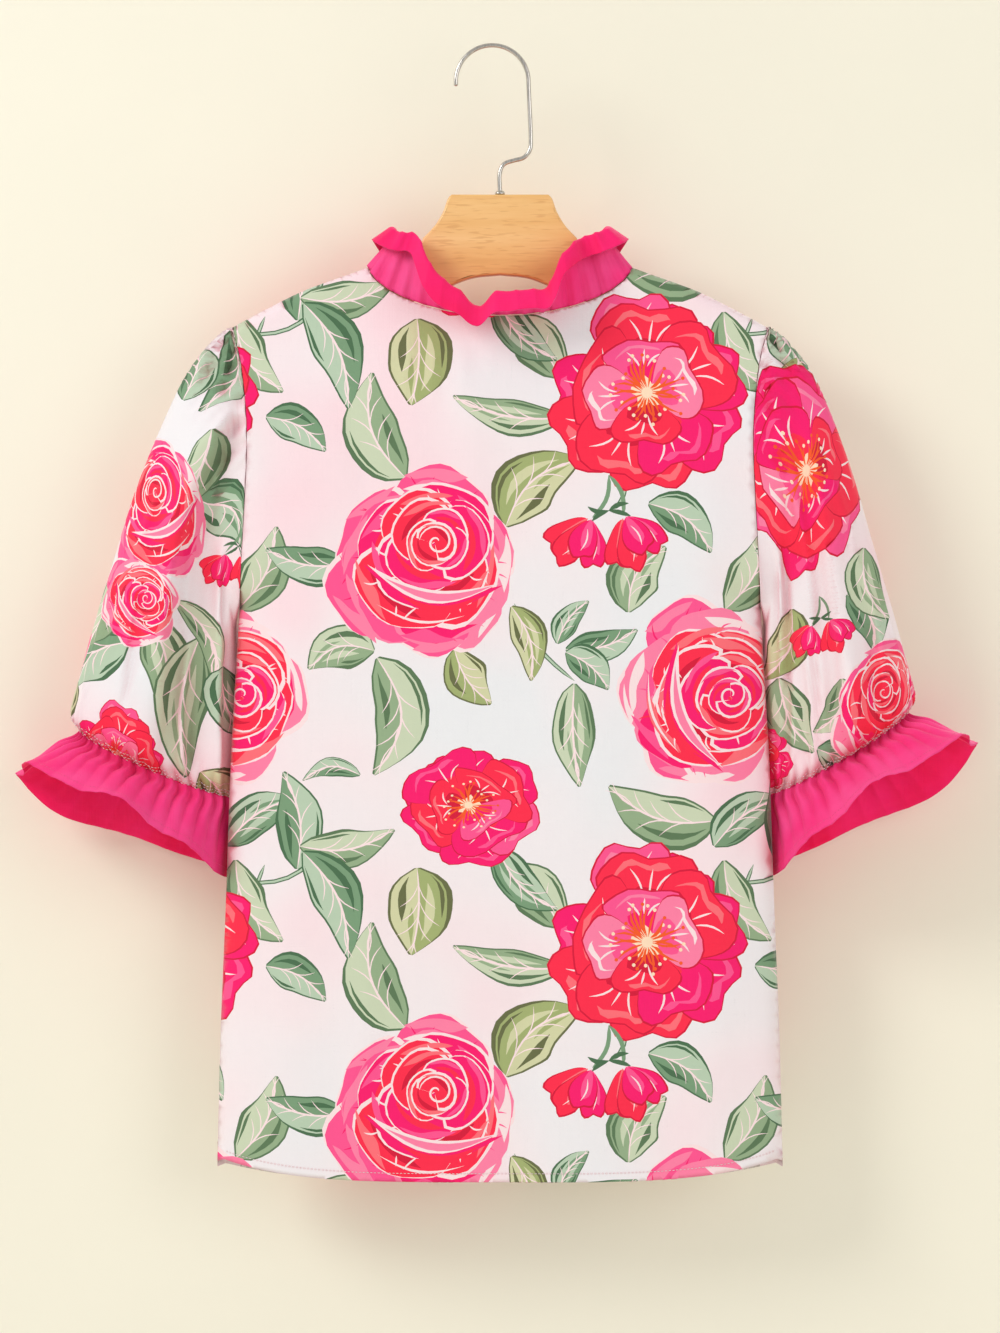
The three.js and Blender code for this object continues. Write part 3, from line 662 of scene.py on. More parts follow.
def collar_frames(columns):
    """The seam's points with the direction in which the frill stands and the one in which it falls."""
    point = neck_seam(columns)
    reach = max(1, columns // 100)
    tangent = unit(np.roll(point, -reach, axis=0) - np.roll(point, reach, axis=0))
    below = shoulder_line(np.abs(point[:, 0])) - point[:, 2]
    upward = np.clip(1 - below / (2 * SHOULDER_R), 0, 1)
    side = np.sign(point[:, 0]) * 0.4 * upward
    normal = unit(np.stack([side, np.sign(point[:, 1]) * (1 - upward), upward], axis=-1))
    up = unit(np.cross(normal, tangent))
    up[:, 2] += COLLAR_STAND
    up = unit(soften(unit(up), 2 * reach))
    out = unit(soften(unit(np.cross(tangent, up)), 2 * reach))
    return point, up, out


def collar_profile(point):
    """Rise, lean, fall and width of the frill at each point of the seam."""
    columns = ("rise", "lean", "fall", "width")
    back = [curve(COLLAR, "at", name)(point[:, 0]) for name in columns]
    front = [curve(V_COLLAR, "z", name)(point[:, 2]) for name in columns]
    on_front = point[:, 1] > 0
    return [np.where(on_front, f, b) for f, b in zip(front, back)]


def collar_grid(columns, gather_depth=1.0):
    """Points of the collar frill's outside as rows from the seam to the free edge."""
    point, up, out = collar_frames(columns)
    rise, lean, fall, width = (soften(values, columns // 100) for values in collar_profile(point))
    angle = 2 * math.pi * np.arange(columns) / columns
    wave = COLLAR_WAVE_TILT * (1 + 0.3 * unevenness(2 * angle, 21)) * np.sin(COLLAR_WAVES * angle)
    stand, bend, fallen = np.linspace(0, 1, 15), np.linspace(1, 2, 13), np.linspace(2, 3, 15)
    shares = np.concatenate([stand, bend[1:], fallen[1:]])
    seam = point + up * SEAM_GAP * 1.5
    place = seam
    rows = []
    reached = 0.0
    for share in shares:
        step = share - reached
        if share <= 1:
            turn = np.radians(lean + wave * share)[:, None]
            place = seam + (up * np.cos(turn) + out * np.sin(turn)) * (rise * share)[:, None]
        else:
            turned = min(1, share - 1 - step / 2)
            degrees = mix(lean + wave, fall, turned)
            length = np.full(columns, COLLAR_BEND) if share <= 2 else width - rise - COLLAR_BEND
            turn = np.radians(degrees)[:, None]
            place = place + (up * np.cos(turn) + out * np.sin(turn)) * (length * step)[:, None]
        reached = share
        rows.append(place)
    grid = np.array(rows)
    along = np.roll(grid, -1, axis=1) - np.roll(grid, 1, axis=1)
    across = np.gradient(grid, axis=0)
    normal = unit(np.cross(along, across))
    normal[0] = out
    fine = pleats(COLLAR_GATHERS * angle + 0.8 * unevenness(angle, 22))
    fine = fine * (1 + 0.4 * unevenness(3 * angle, 23))
    finer = pleats(2 * COLLAR_GATHERS * angle + unevenness(angle, 24))
    fade = np.interp(shares, [0, 1, 2, 3], [1, 0.45, 0.25, 0.3])[:, None]
    relief = gather_depth * (fine * fade + 0.3 * finer * np.clip(1 - shares, 0, 1)[:, None])
    grid = grid + normal * (COLLAR_PLEAT * relief)[..., None]
    grid[..., 0] += STEM_X
    return grid, shares


# Print: flowers and leaves as layered shapes on the flat cloth

INKS = {
    "ground": (255, 255, 255),
    "cream": (252, 228, 232),
    "pale": (255, 130, 170),
    "mid": (255, 84, 148),
    "hot": (252, 16, 112),
    "red": (255, 40, 76),
    "deep": (216, 14, 58),
    "coral": (255, 112, 124),
    "orange": (248, 92, 36),
    "stamen": (255, 226, 196),
    "sage_light": (204, 216, 188),
    "sage": (150, 176, 140),
    "sage_dark": (92, 122, 88),
    "olive_light": (212, 214, 172),
    "olive": (164, 178, 118),
    "olive_dark": (104, 110, 72),
    "green_light": (186, 208, 184),
    "green": (122, 158, 124),
    "green_dark": (74, 112, 80),
}
INK_NAMES = tuple(INKS)
PRINT_FINENESS = 0.16  # places of the print's edges closer than this become one, in millimetres
OUTSIDE_LIMIT = 0.03  # a cut triangle whose middle lies farther than this from the cloth is outside it


class Drawing:
    """Layered shapes in a flower's own coordinates, each a closed outline and its ink."""

    def __init__(self):
        self.shapes = []

    def shape(self, points, ink):
        self.shapes.append((np.asarray(points, float), ink))

    def stroke(self, path, width, ink, taper=0.7):
        """A brush line along a path, thickest in the middle."""
        path = np.asarray(path, float)
        lead = np.gradient(path, axis=0)
        aside = unit(np.stack([-lead[:, 1], lead[:, 0]], axis=-1))
        s = np.linspace(0, 1, len(path))
        half = width / 2 * (0.12 + 0.88 * np.sin(math.pi * s) ** taper)
        self.shape(np.concatenate([path + aside * half[:, None], (path - aside * half[:, None])[::-1]]), ink)

    def add(self, other, centre, size, turn=0.0, narrow=1.0):
        """Places another drawing here, turned by degrees, sized and narrowed across."""
        c, s = math.cos(math.radians(turn)), math.sin(math.radians(turn))
        matrix = np.array([[c, -s], [s, c]])
        for points, ink in other.shapes:
            placed = points @ matrix.T * size * np.array([narrow, 1]) + np.array(centre)
            self.shapes.append((placed, ink))


def bow(start, end, sag, count=8):
    """A path between two points that bows aside by a share of its length."""
    start, end = np.array(start, float), np.array(end, float)
    s = np.linspace(0, 1, count)[:, None]
    lead = end - start
    aside = np.array([-lead[1], lead[0]])
    return start + lead * s + aside * sag * np.sin(math.pi * s)


def petal(centre, angle, half, inner, outer, wobble, count=15):
    """A rose petal: a stretch of ring whose wavy rim rounds off at both sides."""
    s = np.linspace(-1, 1, count)
    waves = 0.04 * np.sin(3.4 * s + wobble) + 0.022 * np.sin(8 * s + 2 * wobble)
    rim = outer * (1 - 0.26 * np.abs(s) ** 3 + waves)
    turn = angle + s * half
    edge = np.stack([np.cos(turn) * rim, np.sin(turn) * rim], axis=-1)
    back = np.stack([np.cos(turn[::-4]) * inner, np.sin(turn[::-4]) * inner], axis=-1)
    return np.concatenate([edge, back]) + centre


def crescent(centre, start, end, reach, thick, wobble, count=12):
    """A brush mark that follows a petal's rim and tapers at both ends."""
    s = np.linspace(0, 1, count)
    turn = mix(start, end, s)
    outer = reach * (1 + 0.03 * np.sin(3 * s + wobble))
    inner = outer - thick * np.sin(math.pi * s) ** 0.8 * (1 + 0.3 * np.sin(7 * s + wobble))
    far = np.stack([np.cos(turn) * outer, np.sin(turn) * outer], axis=-1)
    near = np.stack([np.cos(turn) * inner, np.sin(turn) * inner], axis=-1)
    return np.concatenate([far, near[-2:0:-1]]) + centre


# Rings of rose petals: reach, number, how far the ring has moved to the heart, its rim and its inks
ROSE_RINGS = listed(
    "reach petals moved edge inks",
    (1.00, 6, 0.0, "cream", ("mid", "pale", "mid")),
    (0.88, 5, 0.1, "pale", ("pale", "mid", "hot")),
    (0.79, 4, 0.3, "cream", ("red", "hot", "red")),
    (0.66, 4, 0.6, "cream", ("red", "red", "hot")),
    (0.51, 3, 0.85, "cream", ("red", "hot", "red")),
    (0.36, 3, 1.0, "cream", ("red", "hot", "red")),
    (0.24, 2, 1.0, "cream", ("red", "hot", "red")),
)
ROSE_HEART = np.array([0.12, 0.26])
ROSE_LIP = 4  # the ring after which the bowl's pale turned-down lip is drawn
ROSE_LIP_MARKS = listed(
    "start end sag thick ink",
    ((-0.66, 0.02), (0.82, -0.2), -0.12, -0.14, "hot"),
    ((-0.62, 0.02), (0.78, -0.18), -0.12, -0.1, "cream"),
    ((-0.44, -0.12), (0.72, -0.2), -0.11, -0.07, "pale"),
    ((-0.3, -0.28), (0.6, -0.3), -0.14, -0.1, "red"),
    ((-0.52, -0.4), (0.42, -0.52), -0.12, -0.03, "cream"),
)
RIM_WIDTHS = (0.012, 0.034)
PETAL_SHADES = {"red": "deep", "hot": "red", "mid": "hot", "pale": "mid"}
PETAL_LIGHTS = {"red": "coral", "hot": "mid", "mid": "pale", "pale": "cream"}


def rose(seed):
    """A full rose seen a little from the side, of radius 1."""
    rng = np.random.default_rng(seed)
    d = Drawing()
    for number, ring in enumerate(ROSE_RINGS):
        centre = ROSE_HEART * ring["moved"]
        start = rng.uniform(0, 2 * math.pi)
        half = math.pi / ring["petals"] * 1.4
        for k in range(ring["petals"]):
            angle = start + 2 * math.pi * k / ring["petals"] + rng.uniform(-0.2, 0.2)
            reach = ring["reach"] * rng.uniform(0.92, 1.05)
            wobble = rng.uniform(0, 6)
            ink = ring["inks"][rng.integers(3)]
            width = half * rng.uniform(0.9, 1.1)
            away = centre + 0.04 * np.array([math.cos(wobble), math.sin(wobble)])
            d.shape(petal(away, angle, width, 0.02, reach, wobble), ring["edge"])
            rim = reach - rng.uniform(*RIM_WIDTHS)
            d.shape(petal(away, angle + 0.05, width * 0.97, 0.02, rim, wobble), ink)
            lit = angle + rng.choice([-1, 1]) * 0.3 * width
            bright = (lit - 0.5 * width, lit + 0.4 * width, rim * 0.97, reach * 0.13)
            d.shape(crescent(away, *bright, wobble), PETAL_LIGHTS[ink])
            shaded = (angle - 0.6 * width, angle + 0.55 * width, rim * 0.78, reach * 0.16)
            d.shape(crescent(away, *shaded, wobble), PETAL_SHADES[ink])
            if number < ROSE_LIP:
                for _ in range(3):
                    turn = angle + rng.uniform(-0.6, 0.6) * width
                    low, high = rng.uniform(0.6, 0.72) * reach, rng.uniform(0.84, 0.93) * reach
                    lean = rng.uniform(-0.2, 0.2)
                    tips = ((low, turn), (high, turn + lean))
                    ends = [away + r * np.array([math.cos(t), math.sin(t)]) for r, t in tips]
                    brush = "cream" if number > 1 else PETAL_SHADES[ink]
                    d.stroke(bow(*ends, rng.uniform(-0.25, 0.25), 6), 0.02, brush)
        if number == ROSE_LIP:
            for mark in ROSE_LIP_MARKS:
                upper = bow(mark["start"], mark["end"], mark["sag"], 11)
                lower = bow(mark["end"], mark["start"], -mark["sag"] - mark["thick"], 11)
                d.shape(np.concatenate([upper, lower]), mark["ink"])
    s = np.linspace(0, 1, 26)
    turn = 0.6 + 4.2 * math.pi * s * 0.66
    reach = 0.02 + 0.17 * s
    spiral = ROSE_HEART + np.stack([np.cos(turn) * reach, np.sin(turn) * reach], axis=-1)
    d.stroke(spiral, 0.024, "cream", 0.35)
    return d


def lobe(angle, reach, width, wobble, count=26):
    """An open flower's petal: broad, notched and frilled at its tip, narrow at its root."""
    t = np.linspace(0, 2 * math.pi, count, endpoint=False)
    along = 0.56 + 0.44 * np.cos(t)
    wide = width * np.sin(t) * (0.35 + 0.8 * along) * (1 + 0.08 * np.sin(3 * t + wobble))
    tip = np.maximum(0, np.cos(t))
    notch = 0.05 * ridge(np.sin(t) - 0.2 * np.sin(wobble), 0.22)
    along = along + tip * (0.04 * np.cos(5 * t + wobble) - notch)
    c, s = math.cos(angle), math.sin(angle)
    return np.stack([along * reach * c - wide * s, along * reach * s + wide * c], axis=-1)


# Layers of an open flower's petals: reach, number of petals and their inks
FLOWER_LAYERS = listed(
    "reach petals inks",
    (1.0, 7, ("hot", "hot", "red", "mid")),
    (0.82, 5, ("red", "hot", "red", "mid")),
    (0.56, 4, ("red", "mid", "pale", "hot")),
)


def open_flower(seed, fewer=0, flat=1.0):
    """An open flower of radius 1 with orange stamens, its petals outlined in deep red."""
    rng = np.random.default_rng(seed)
    d = Drawing()
    for layer in FLOWER_LAYERS:
        count = layer["petals"] - fewer
        start = rng.uniform(0, 6)
        for k in range(count):
            angle = start + 2 * math.pi * k / count + rng.uniform(-0.2, 0.2)
            length = layer["reach"] * rng.uniform(0.8, 1.04)
            width = (3.1 / count) * layer["reach"] * rng.uniform(0.8, 1.06)
            wobble = rng.uniform(0, 6)
            ink = layer["inks"][rng.integers(4)]
            d.shape(lobe(angle, length + 0.014, width + 0.018, wobble), "deep")
            d.shape(lobe(angle, length, width, wobble), ink)
            d.shape(lobe(angle + 0.1, length * 0.93, width * 0.62, wobble + 0.6), PETAL_LIGHTS[ink])
            d.shape(lobe(angle + 0.02, length * 0.86, width * 0.72, wobble + 0.3), ink)
            d.shape(lobe(angle - 0.06, length * 0.62, width * 0.5, wobble + 1, 14), PETAL_SHADES[ink])
            for side in (-0.6, -0.1, 0.4):
                turn = angle + side * width / length
                tips = ((rng.uniform(0.42, 0.6), angle + side * 0.25), (rng.uniform(0.78, 0.9), turn))
                ends = [r * length * np.array([math.cos(t), math.sin(t)]) for r, t in tips]
                d.stroke(bow(*ends, -0.2 * side, 6), 0.02, "cream")
    heart = np.linspace(0, 2 * math.pi, 18, endpoint=False)
    spread = 0.13 * (1 + 0.3 * np.sin(5 * heart + 1))
    d.shape(np.stack([np.cos(heart) * spread, np.sin(heart) * spread], axis=-1), "stamen")
    for k in range(28):
        turn = 2 * math.pi * k / 28 + rng.uniform(-0.1, 0.1)
        far = rng.uniform(0.2, 0.36)
        lead = np.array([math.cos(turn), math.sin(turn)])
        d.stroke(bow(lead * 0.05, lead * far, rng.uniform(-0.15, 0.15), 4), 0.024, "orange")
        dot = 0.018 * np.stack([np.cos(heart[::3]), np.sin(heart[::3])], axis=-1) + lead * (far + 0.012)
        d.shape(dot, "stamen" if k % 3 else "orange")
    for points, _ in d.shapes:
        points[:, 1] *= flat
    return d


# Petals of a half-open bud: how far each leans aside, its reach, width and ink
BUD_PETALS = listed(
    "aside reach wide ink",
    (-0.5, 1.1, 0.3, "red"),
    (0.5, 1.08, 0.3, "hot"),
    (-0.16, 1.2, 0.3, "red"),
    (0.16, 0.9, 0.34, "hot"),
)


def bud_pair(seed):
    """Two half-open buds on short stems, hanging from their top."""
    rng = np.random.default_rng(seed)
    d = Drawing()
    for end in ((-0.3, 0.5), (0.34, 0.5)):
        d.stroke(bow((0.1, 1.35), end, 0.14, 8), 0.09, "green", 0.2)
    for root, turn in (((-0.3, 0.55), -0.55), ((0.34, 0.55), 0.3)):
        root = np.array(root)
        for row in BUD_PETALS:
            aside, reach, wide, ink = row.values()
            angle = -math.pi / 2 + turn + aside
            d.shape(lobe(angle, reach + 0.04, wide + 0.035, 6 * aside) + root, "deep")
            d.shape(lobe(angle, reach, wide, 6 * aside) + root, ink)
            d.shape(lobe(angle + 0.08, reach * 0.8, wide * 0.4, 6 * aside, 12) + root, PETAL_LIGHTS[ink])
            lead = np.array([math.cos(angle), math.sin(angle)])
            d.stroke(bow(root + 0.3 * lead, root + 0.85 * reach * lead, 0.12, 6), 0.035, "cream")
    for turn in (2.6, 3.9, -0.5, 0.6):
        tip = np.array([0.05, 0.6]) + 0.5 * np.array([math.cos(turn), 0.5 * math.sin(turn)])
        d.stroke(bow((0.05, 0.62), tip, rng.uniform(-0.2, 0.2), 6), 0.1, "green_dark")
    return d


def leaf(start, end, width, sag, family, seed):
    """A veined leaf from its stem to its tip, in two tones with a broken dark rim."""
    rng = np.random.default_rng(seed)
    d = Drawing()
    spine = bow(start, end, sag, 12)
    lead = np.gradient(spine, axis=0)
    aside = unit(np.stack([-lead[:, 1], lead[:, 0]], axis=-1))
    s = np.linspace(0, 1, len(spine))
    swell = np.sin(math.pi * s**0.82) ** 0.85 * (1 + 0.06 * np.sin(11 * s + seed))
    half = (width / 2 * np.maximum(swell, 0))[:, None]
    half[0], half[-1] = 0.2, 0.15
    rim = width * 0.045
    left, right = spine + aside * half, spine - aside * half
    thick = half + rim * (1.2 + np.sin(5 * s))[:, None]
    shadow = np.concatenate([spine + aside * thick, (spine - aside * (half + rim))[::-1]])
    d.shape(shadow, f"{family}_dark")
    light = f"{family}_light"
    d.shape(np.concatenate([left, spine[::-1]]), light if seed % 2 else family)
    d.shape(np.concatenate([spine, right[::-1]]), family if seed % 2 else light)
    side = 1 if rng.uniform() < 0.5 else -1
    marks = (
        {"way": side, "from": 1, "to": 8, "middle": 0.6, "thick": 0.3, "ink": f"{family}_dark"},
        {"way": side, "from": 5, "to": 11, "middle": 0.25, "thick": 0.24, "ink": family},
        {"way": -side, "from": 2, "to": 10, "middle": 0.4, "thick": 0.36, "ink": light},
        {"way": -side, "from": 1, "to": 7, "middle": 0.84, "thick": 0.16, "ink": f"{family}_dark"},
    )
    for mark in marks:
        run = slice(mark["from"], mark["to"])
        share = np.linspace(0.02, 0.98, mark["to"] - mark["from"])
        taper = (mark["thick"] / 2 * np.sin(math.pi * share))[:, None]
        near = spine[run] + mark["way"] * aside[run] * half[run] * (mark["middle"] - taper)
        far = spine[run] + mark["way"] * aside[run] * half[run] * (mark["middle"] + taper)
        d.shape(np.concatenate([near, far[::-1]]), mark["ink"])
    length = np.linalg.norm(spine[-1] - spine[0])
    for k in (2, 4, 6, 8):
        for way in (-1, 1):
            reached = min(k + 3, 11)
            tip = spine[reached] + way * aside[reached] * half[min(k + 2, 11)] * rng.uniform(0.6, 0.88)
            d.stroke(bow(spine[k], tip, -0.12 * way, 6), 0.008 * length + 0.3, "cream")
    d.stroke(spine, 0.012 * length + 0.6, "cream", 0.4)
    return d


# Flowers of one repeat of the print, by the place of their middle on the back
REPEAT = (343, 385)
FLOWERS = listed(
    "kind x z size turn",
    ("rose", -52, -366, 66, 0),
    ("rose", 143, -457, 65, -62),
    ("open", 103, -244, 76, 20),
    ("small", -22, -533, 56, 0),
    ("buds", 76, -348, 34, 4),
)
# Leaves of one repeat: stem end, tip, width, bow to the side and family of green
LEAVES = listed(
    "start end width sag family",
    ((-58, -192), (-62, -253), 42, 0.05, "olive"),
    ((-66, -304), (-90, -230), 36, 0.16, "sage"),
    ((42, -234), (-3, -191), 31, -0.12, "sage"),
    ((44, -262), (-33, -247), 22, 0.08, "sage"),
    ((4, -338), (56, -291), 38, 0.16, "olive"),
    ((-106, -364), (-164, -354), 25, 0.1, "green"),
    ((-88, -425), (-134, -438), 29, -0.2, "sage"),
    ((-86, -430), (-88, -512), 35, 0.22, "sage"),
    ((-98, -512), (-138, -516), 12, -0.2, "green"),
    ((-32, -424), (-6, -462), 27, -0.1, "olive"),
    ((8, -394), (22, -446), 22, 0.12, "olive"),
    ((40, -420), (62, -390), 16, 0.1, "green"),
    ((46, -424), (96, -410), 21, -0.1, "green"),
    ((46, -426), (76, -452), 22, 0.1, "green"),
    ((52, -448), (56, -520), 27, -0.04, "sage"),
    ((158, -396), (186, -338), 30, -0.12, "sage"),
    ((90, -398), (116, -352), 32, 0.16, "sage"),
    ((104, -322), (148, -356), 26, 0.14, "green"),
    ((152, -544), (76, -520), 34, 0.14, "sage"),
    ((150, -562), (200, -528), 27, 0.1, "green"),
    ((-142, -578), (-152, -510), 30, -0.1, "green"),
    ((-140, -562), (-74, -550), 24, -0.12, "sage"),
    ((-138, -566), (-106, -640), 31, 0.12, "green"),
    ((-186, -572), (-152, -628), 28, -0.16, "sage"),
    ((-164, -646), (-122, -670), 24, 0.12, "green"),
    ((-2, -562), (40, -606), 24, -0.12, "green"),
)
# Stems of one repeat: two ends and the bow to the side
STEMS = listed(
    "start end sag",
    ((10, -392), (52, -446), -0.08),
    ((-190, -586), (-118, -556), -0.18),
    ((-140, -560), (-116, -590), -0.1),
    ((88, -308), (80, -326), 0.1),
    ((-12, -548), (4, -570), 0.1),
    ((178, -190), (168, -236), -0.06),
)
# Flowers and leaves of the sleeves, by flat places beside the body on the right or left
LEFT_FLOWERS = listed(
    "kind x z size turn narrow",
    ("rose", -238, -330, 50, 30, 0.66),
    ("rose", -252, -392, 30, -40, 0.9),
    ("open", -266, -492, 38, 0, 0.85),
    ("buds", -190, -366, 20, 0, 0.8),
    ("rose", -334, -398, 54, 10, 1),
    ("open", -296, -308, 34, 40, 1),
)
LEFT_LEAVES = listed(
    "start end width sag family",
    ((-214, -318), (-188, -352), 30, 0.2, "green"),
    ((-256, -418), (-300, -452), 32, -0.14, "green"),
    ((-266, -372), (-292, -424), 26, 0.1, "sage"),
    ((-244, -400), (-238, -458), 26, 0.12, "sage"),
    ((-212, -412), (-222, -504), 30, -0.1, "sage"),
    ((-228, -388), (-206, -440), 16, 0.2, "sage"),
    ((-200, -430), (-186, -480), 24, -0.1, "green"),
    ((-196, -206), (-212, -262), 24, 0.16, "green"),
    ((-206, -276), (-224, -326), 18, 0.1, "sage"),
    ((-214, -500), (-196, -536), 26, 0.1, "olive"),
    ((-366, -436), (-414, -452), 28, 0.1, "sage"),
    ((-370, -366), (-396, -410), 26, 0.14, "green"),
    ((-222, -252), (-216, -218), 20, -0.1, "green"),
    ((-300, -444), (-322, -474), 24, 0.1, "olive"),
    ((-332, -336), (-366, -356), 24, -0.14, "sage"),
)
RIGHT_FLOWERS = listed(
    "kind x z size turn narrow",
    ("open", 214, -300, 78, 75, 0.56),
    ("buds", 226, -412, 20, 10, 0.8),
    ("rose", 268, -462, 44, 50, 0.8),
    ("open", 190, -492, 26, 0, 0.8),
    ("rose", 306, -338, 48, 0, 1),
    ("open", 362, -420, 40, 10, 1),
)
RIGHT_LEAVES = listed(
    "start end width sag family",
    ((196, -200), (214, -238), 22, 0.1, "green"),
    ((240, -386), (258, -424), 22, 0.16, "green"),
    ((206, -392), (190, -440), 24, 0.14, "olive"),
    ((200, -438), (222, -486), 26, -0.1, "sage"),
    ((224, -484), (252, -506), 24, 0.1, "green"),
    ((238, -440), (222, -474), 18, 0.2, "sage"),
    ((252, -356), (268, -404), 24, -0.16, "sage"),
    ((238, -246), (262, -284), 26, 0.1, "green"),
    ((296, -392), (318, -446), 28, 0.1, "sage"),
    ((352, -346), (386, -376), 24, -0.1, "green"),
    ((218, -262), (214, -226), 18, 0.1, "olive"),
)


def repeated(rows, keys, low, high, pitch=REPEAT, shift=(0, 0)):
    """Copies of a repeat's rows that reach into a window, moved by whole repeats and a shift."""
    found = []
    for i in (-2, -1, 0, 1, 2):
        for j in (-2, -1, 0, 1, 2):
            move = np.array([i * pitch[0] + shift[0], j * pitch[1] + shift[1]])
            for number, row in enumerate(rows):
                places = [np.array(place, float) + move for place in keys(row)]
                margin = row.get("size", 20) + 6
                centre = np.mean(places, axis=0)
                if np.all(centre > low - margin) and np.all(centre < high + margin):
                    found.append((number, row, places))
    return found


def drawn_flower(row, number):
    kind = row["kind"]
    if kind == "rose":
        return rose(31 + number)
    if kind == "buds":
        return bud_pair(5 + number)
    return open_flower(17 + number, 0 if kind == "open" else 1, 1.0 if kind == "open" else 0.8)


def print_shapes(flowers, leaves, stems, low, high, pitch=REPEAT, shift=(0, 0)):
    """The print's shapes over a window of flat cloth, from the lowest layer up."""
    d = Drawing()

    def ends(row):
        return (row["start"], row["end"])

    def middle(row):
        return ((row["x"], row["z"]),)

    for number, row, (start, end) in repeated(stems, ends, low, high, pitch, shift):
        d.stroke(bow(start, end, row["sag"], 9), 3.2, "green_dark", 0.25)
        d.stroke(bow(start, end, row["sag"], 9), 1.5, "green_light", 0.25)
    for number, row, (start, end) in repeated(leaves, ends, low, high, pitch, shift):
        d.add(leaf(start, end, row["width"], row["sag"], row["family"], number), (0, 0), 1)
    for number, row, (place,) in repeated(flowers, middle, low, high, pitch, shift):
        d.add(drawn_flower(row, number), place, row["size"], row["turn"], row.get("narrow", 1))
    inside = []
    for points, ink in d.shapes:
        if np.all(points.max(axis=0) > low) and np.all(points.min(axis=0) < high):
            inside.append((points, ink))
    return inside


def signed_area(points):
    x, y = points[:, 0], points[:, 1]
    return 0.5 * float(np.sum(x * np.roll(y, -1) - y * np.roll(x, -1)))


def layered_cut(outline, shapes):
    """Triangles of the outline's inside, cut along every shape, and the ink of each one's topmost shape."""
    points = [outline]
    faces = [list(range(len(outline)))]
    count = len(outline)
    for shape, _ in shapes:
        ring = shape if signed_area(shape) > 0 else shape[::-1]
        points.append(ring)
        faces.append(list(range(count, count + len(ring))))
        count += len(ring)
    flat = [Vector((float(x), float(y))) for x, y in np.concatenate(points)]
    found, _, triangles, _, _, sources = delaunay_2d_cdt(flat, [], faces, 0, 1e-4, True)
    inks = [INK_NAMES.index("ground")] + [INK_NAMES.index(ink) for _, ink in shapes]
    kept, colours = [], []
    for triangle, layers in zip(triangles, sources):
        if 0 in layers:
            kept.append(triangle)
            colours.append(inks[max(layers)])
    return np.array([place[:] for place in found]), np.array(kept), np.array(colours)


def cut_cloth(outline, inner, shapes):
    """Cuts flat cloth along its outline and the print's visible edges. Gives points, triangles and inks."""
    places, pieces, inks = layered_cut(outline, shapes)
    edges = {}
    for triangle, ink in zip(pieces.tolist(), inks.tolist()):
        for a, b in zip(triangle, triangle[1:] + triangle[:1]):
            edges.setdefault((min(a, b), max(a, b)), []).append(ink)
    shown = [edge for edge, sides in edges.items() if len(sides) == 1 or sides[0] != sides[1]]
    used, renumbered = np.unique(np.array(shown), return_inverse=True)
    flat = [Vector((float(x), float(y))) for x, y in np.concatenate([places[used], inner])]
    shown = [tuple(edge) for edge in renumbered.reshape(-1, 2).tolist()]
    found, _, triangles, _, _, _ = delaunay_2d_cdt(flat, shown, [], 0, PRINT_FINENESS, False)
    found = np.array([place[:] for place in found])
    layers = BVHTree.FromPolygons([(x, z, 0) for x, z in places], pieces.tolist(), all_triangles=True)
    kept, colours = [], []
    for triangle in triangles:
        x, z = found[triangle].mean(axis=0)
        _, _, piece, away = layers.find_nearest((x, z, 0))
        if away < OUTSIDE_LIMIT:
            kept.append(triangle)
            colours.append(inks[piece])
    kept = np.array(kept)
    used, renumbered = np.unique(kept, return_inverse=True)
    return found[used], renumbered.reshape(kept.shape), np.array(colours)


def linear(colour):
    """A colour of 0 to 255 as the linear values that a material works with."""
    value = np.asarray(colour, float) / 255
    return np.where(value <= 0.04045, value / 12.92, ((value + 0.055) / 1.055) ** 2.4)


def mesh_object(name, points, faces, materials, inks=None):
    """A mesh object at the origin from points in millimetres."""
    mesh = bpy.data.meshes.new(name)
    mesh.from_pydata((np.asarray(points) * MM).tolist(), [], [list(map(int, face)) for face in faces])
    if inks is not None:
        colours = np.array([[*linear(INKS[key]), 0.0 if key == "ground" else 1.0] for key in INK_NAMES])
        layer = mesh.color_attributes.new("print", "FLOAT_COLOR", "CORNER")
        corner_inks = np.repeat(inks, 3)
        layer.data.foreach_set("color", colours[corner_inks].astype(np.float32).ravel())
    for material in materials:
        mesh.materials.append(material)
    mesh.shade_smooth()
    mesh.validate()
    obj = bpy.data.objects.new(name, mesh)
    bpy.context.scene.collection.objects.link(obj)
    return obj


def apply_modifiers(obj):
    """Turns the object with its modifiers into a plain mesh object."""
    graph = bpy.context.evaluated_depsgraph_get()
    mesh = bpy.data.meshes.new_from_object(obj.evaluated_get(graph))
    mesh.name = obj.name
    obj.modifiers.clear()
    obj.data = mesh
    return obj


def give_thickness(obj, thickness, rim=0):
    """Makes the sheet a thin shell that lies inwards from its outside, with its second material inside."""
    shell = obj.modifiers.new("thickness", "SOLIDIFY")
    shell.thickness = thickness * MM
    shell.offset = -1
    shell.use_even_offset = False
    shell.material_offset = 1
    shell.material_offset_rim = rim
    return apply_modifiers(obj)


def grid_faces(rows, columns, loop):
    """Quads of a grid of points, row after row, whose rows may close on themselves."""
    faces = []
    last = columns if loop else columns - 1
    for r in range(rows - 1):
        for c in range(last):
            a, b = r * columns + c, r * columns + (c + 1) % columns
            faces.append((a, b, b + columns, a + columns))
    return faces


# Materials


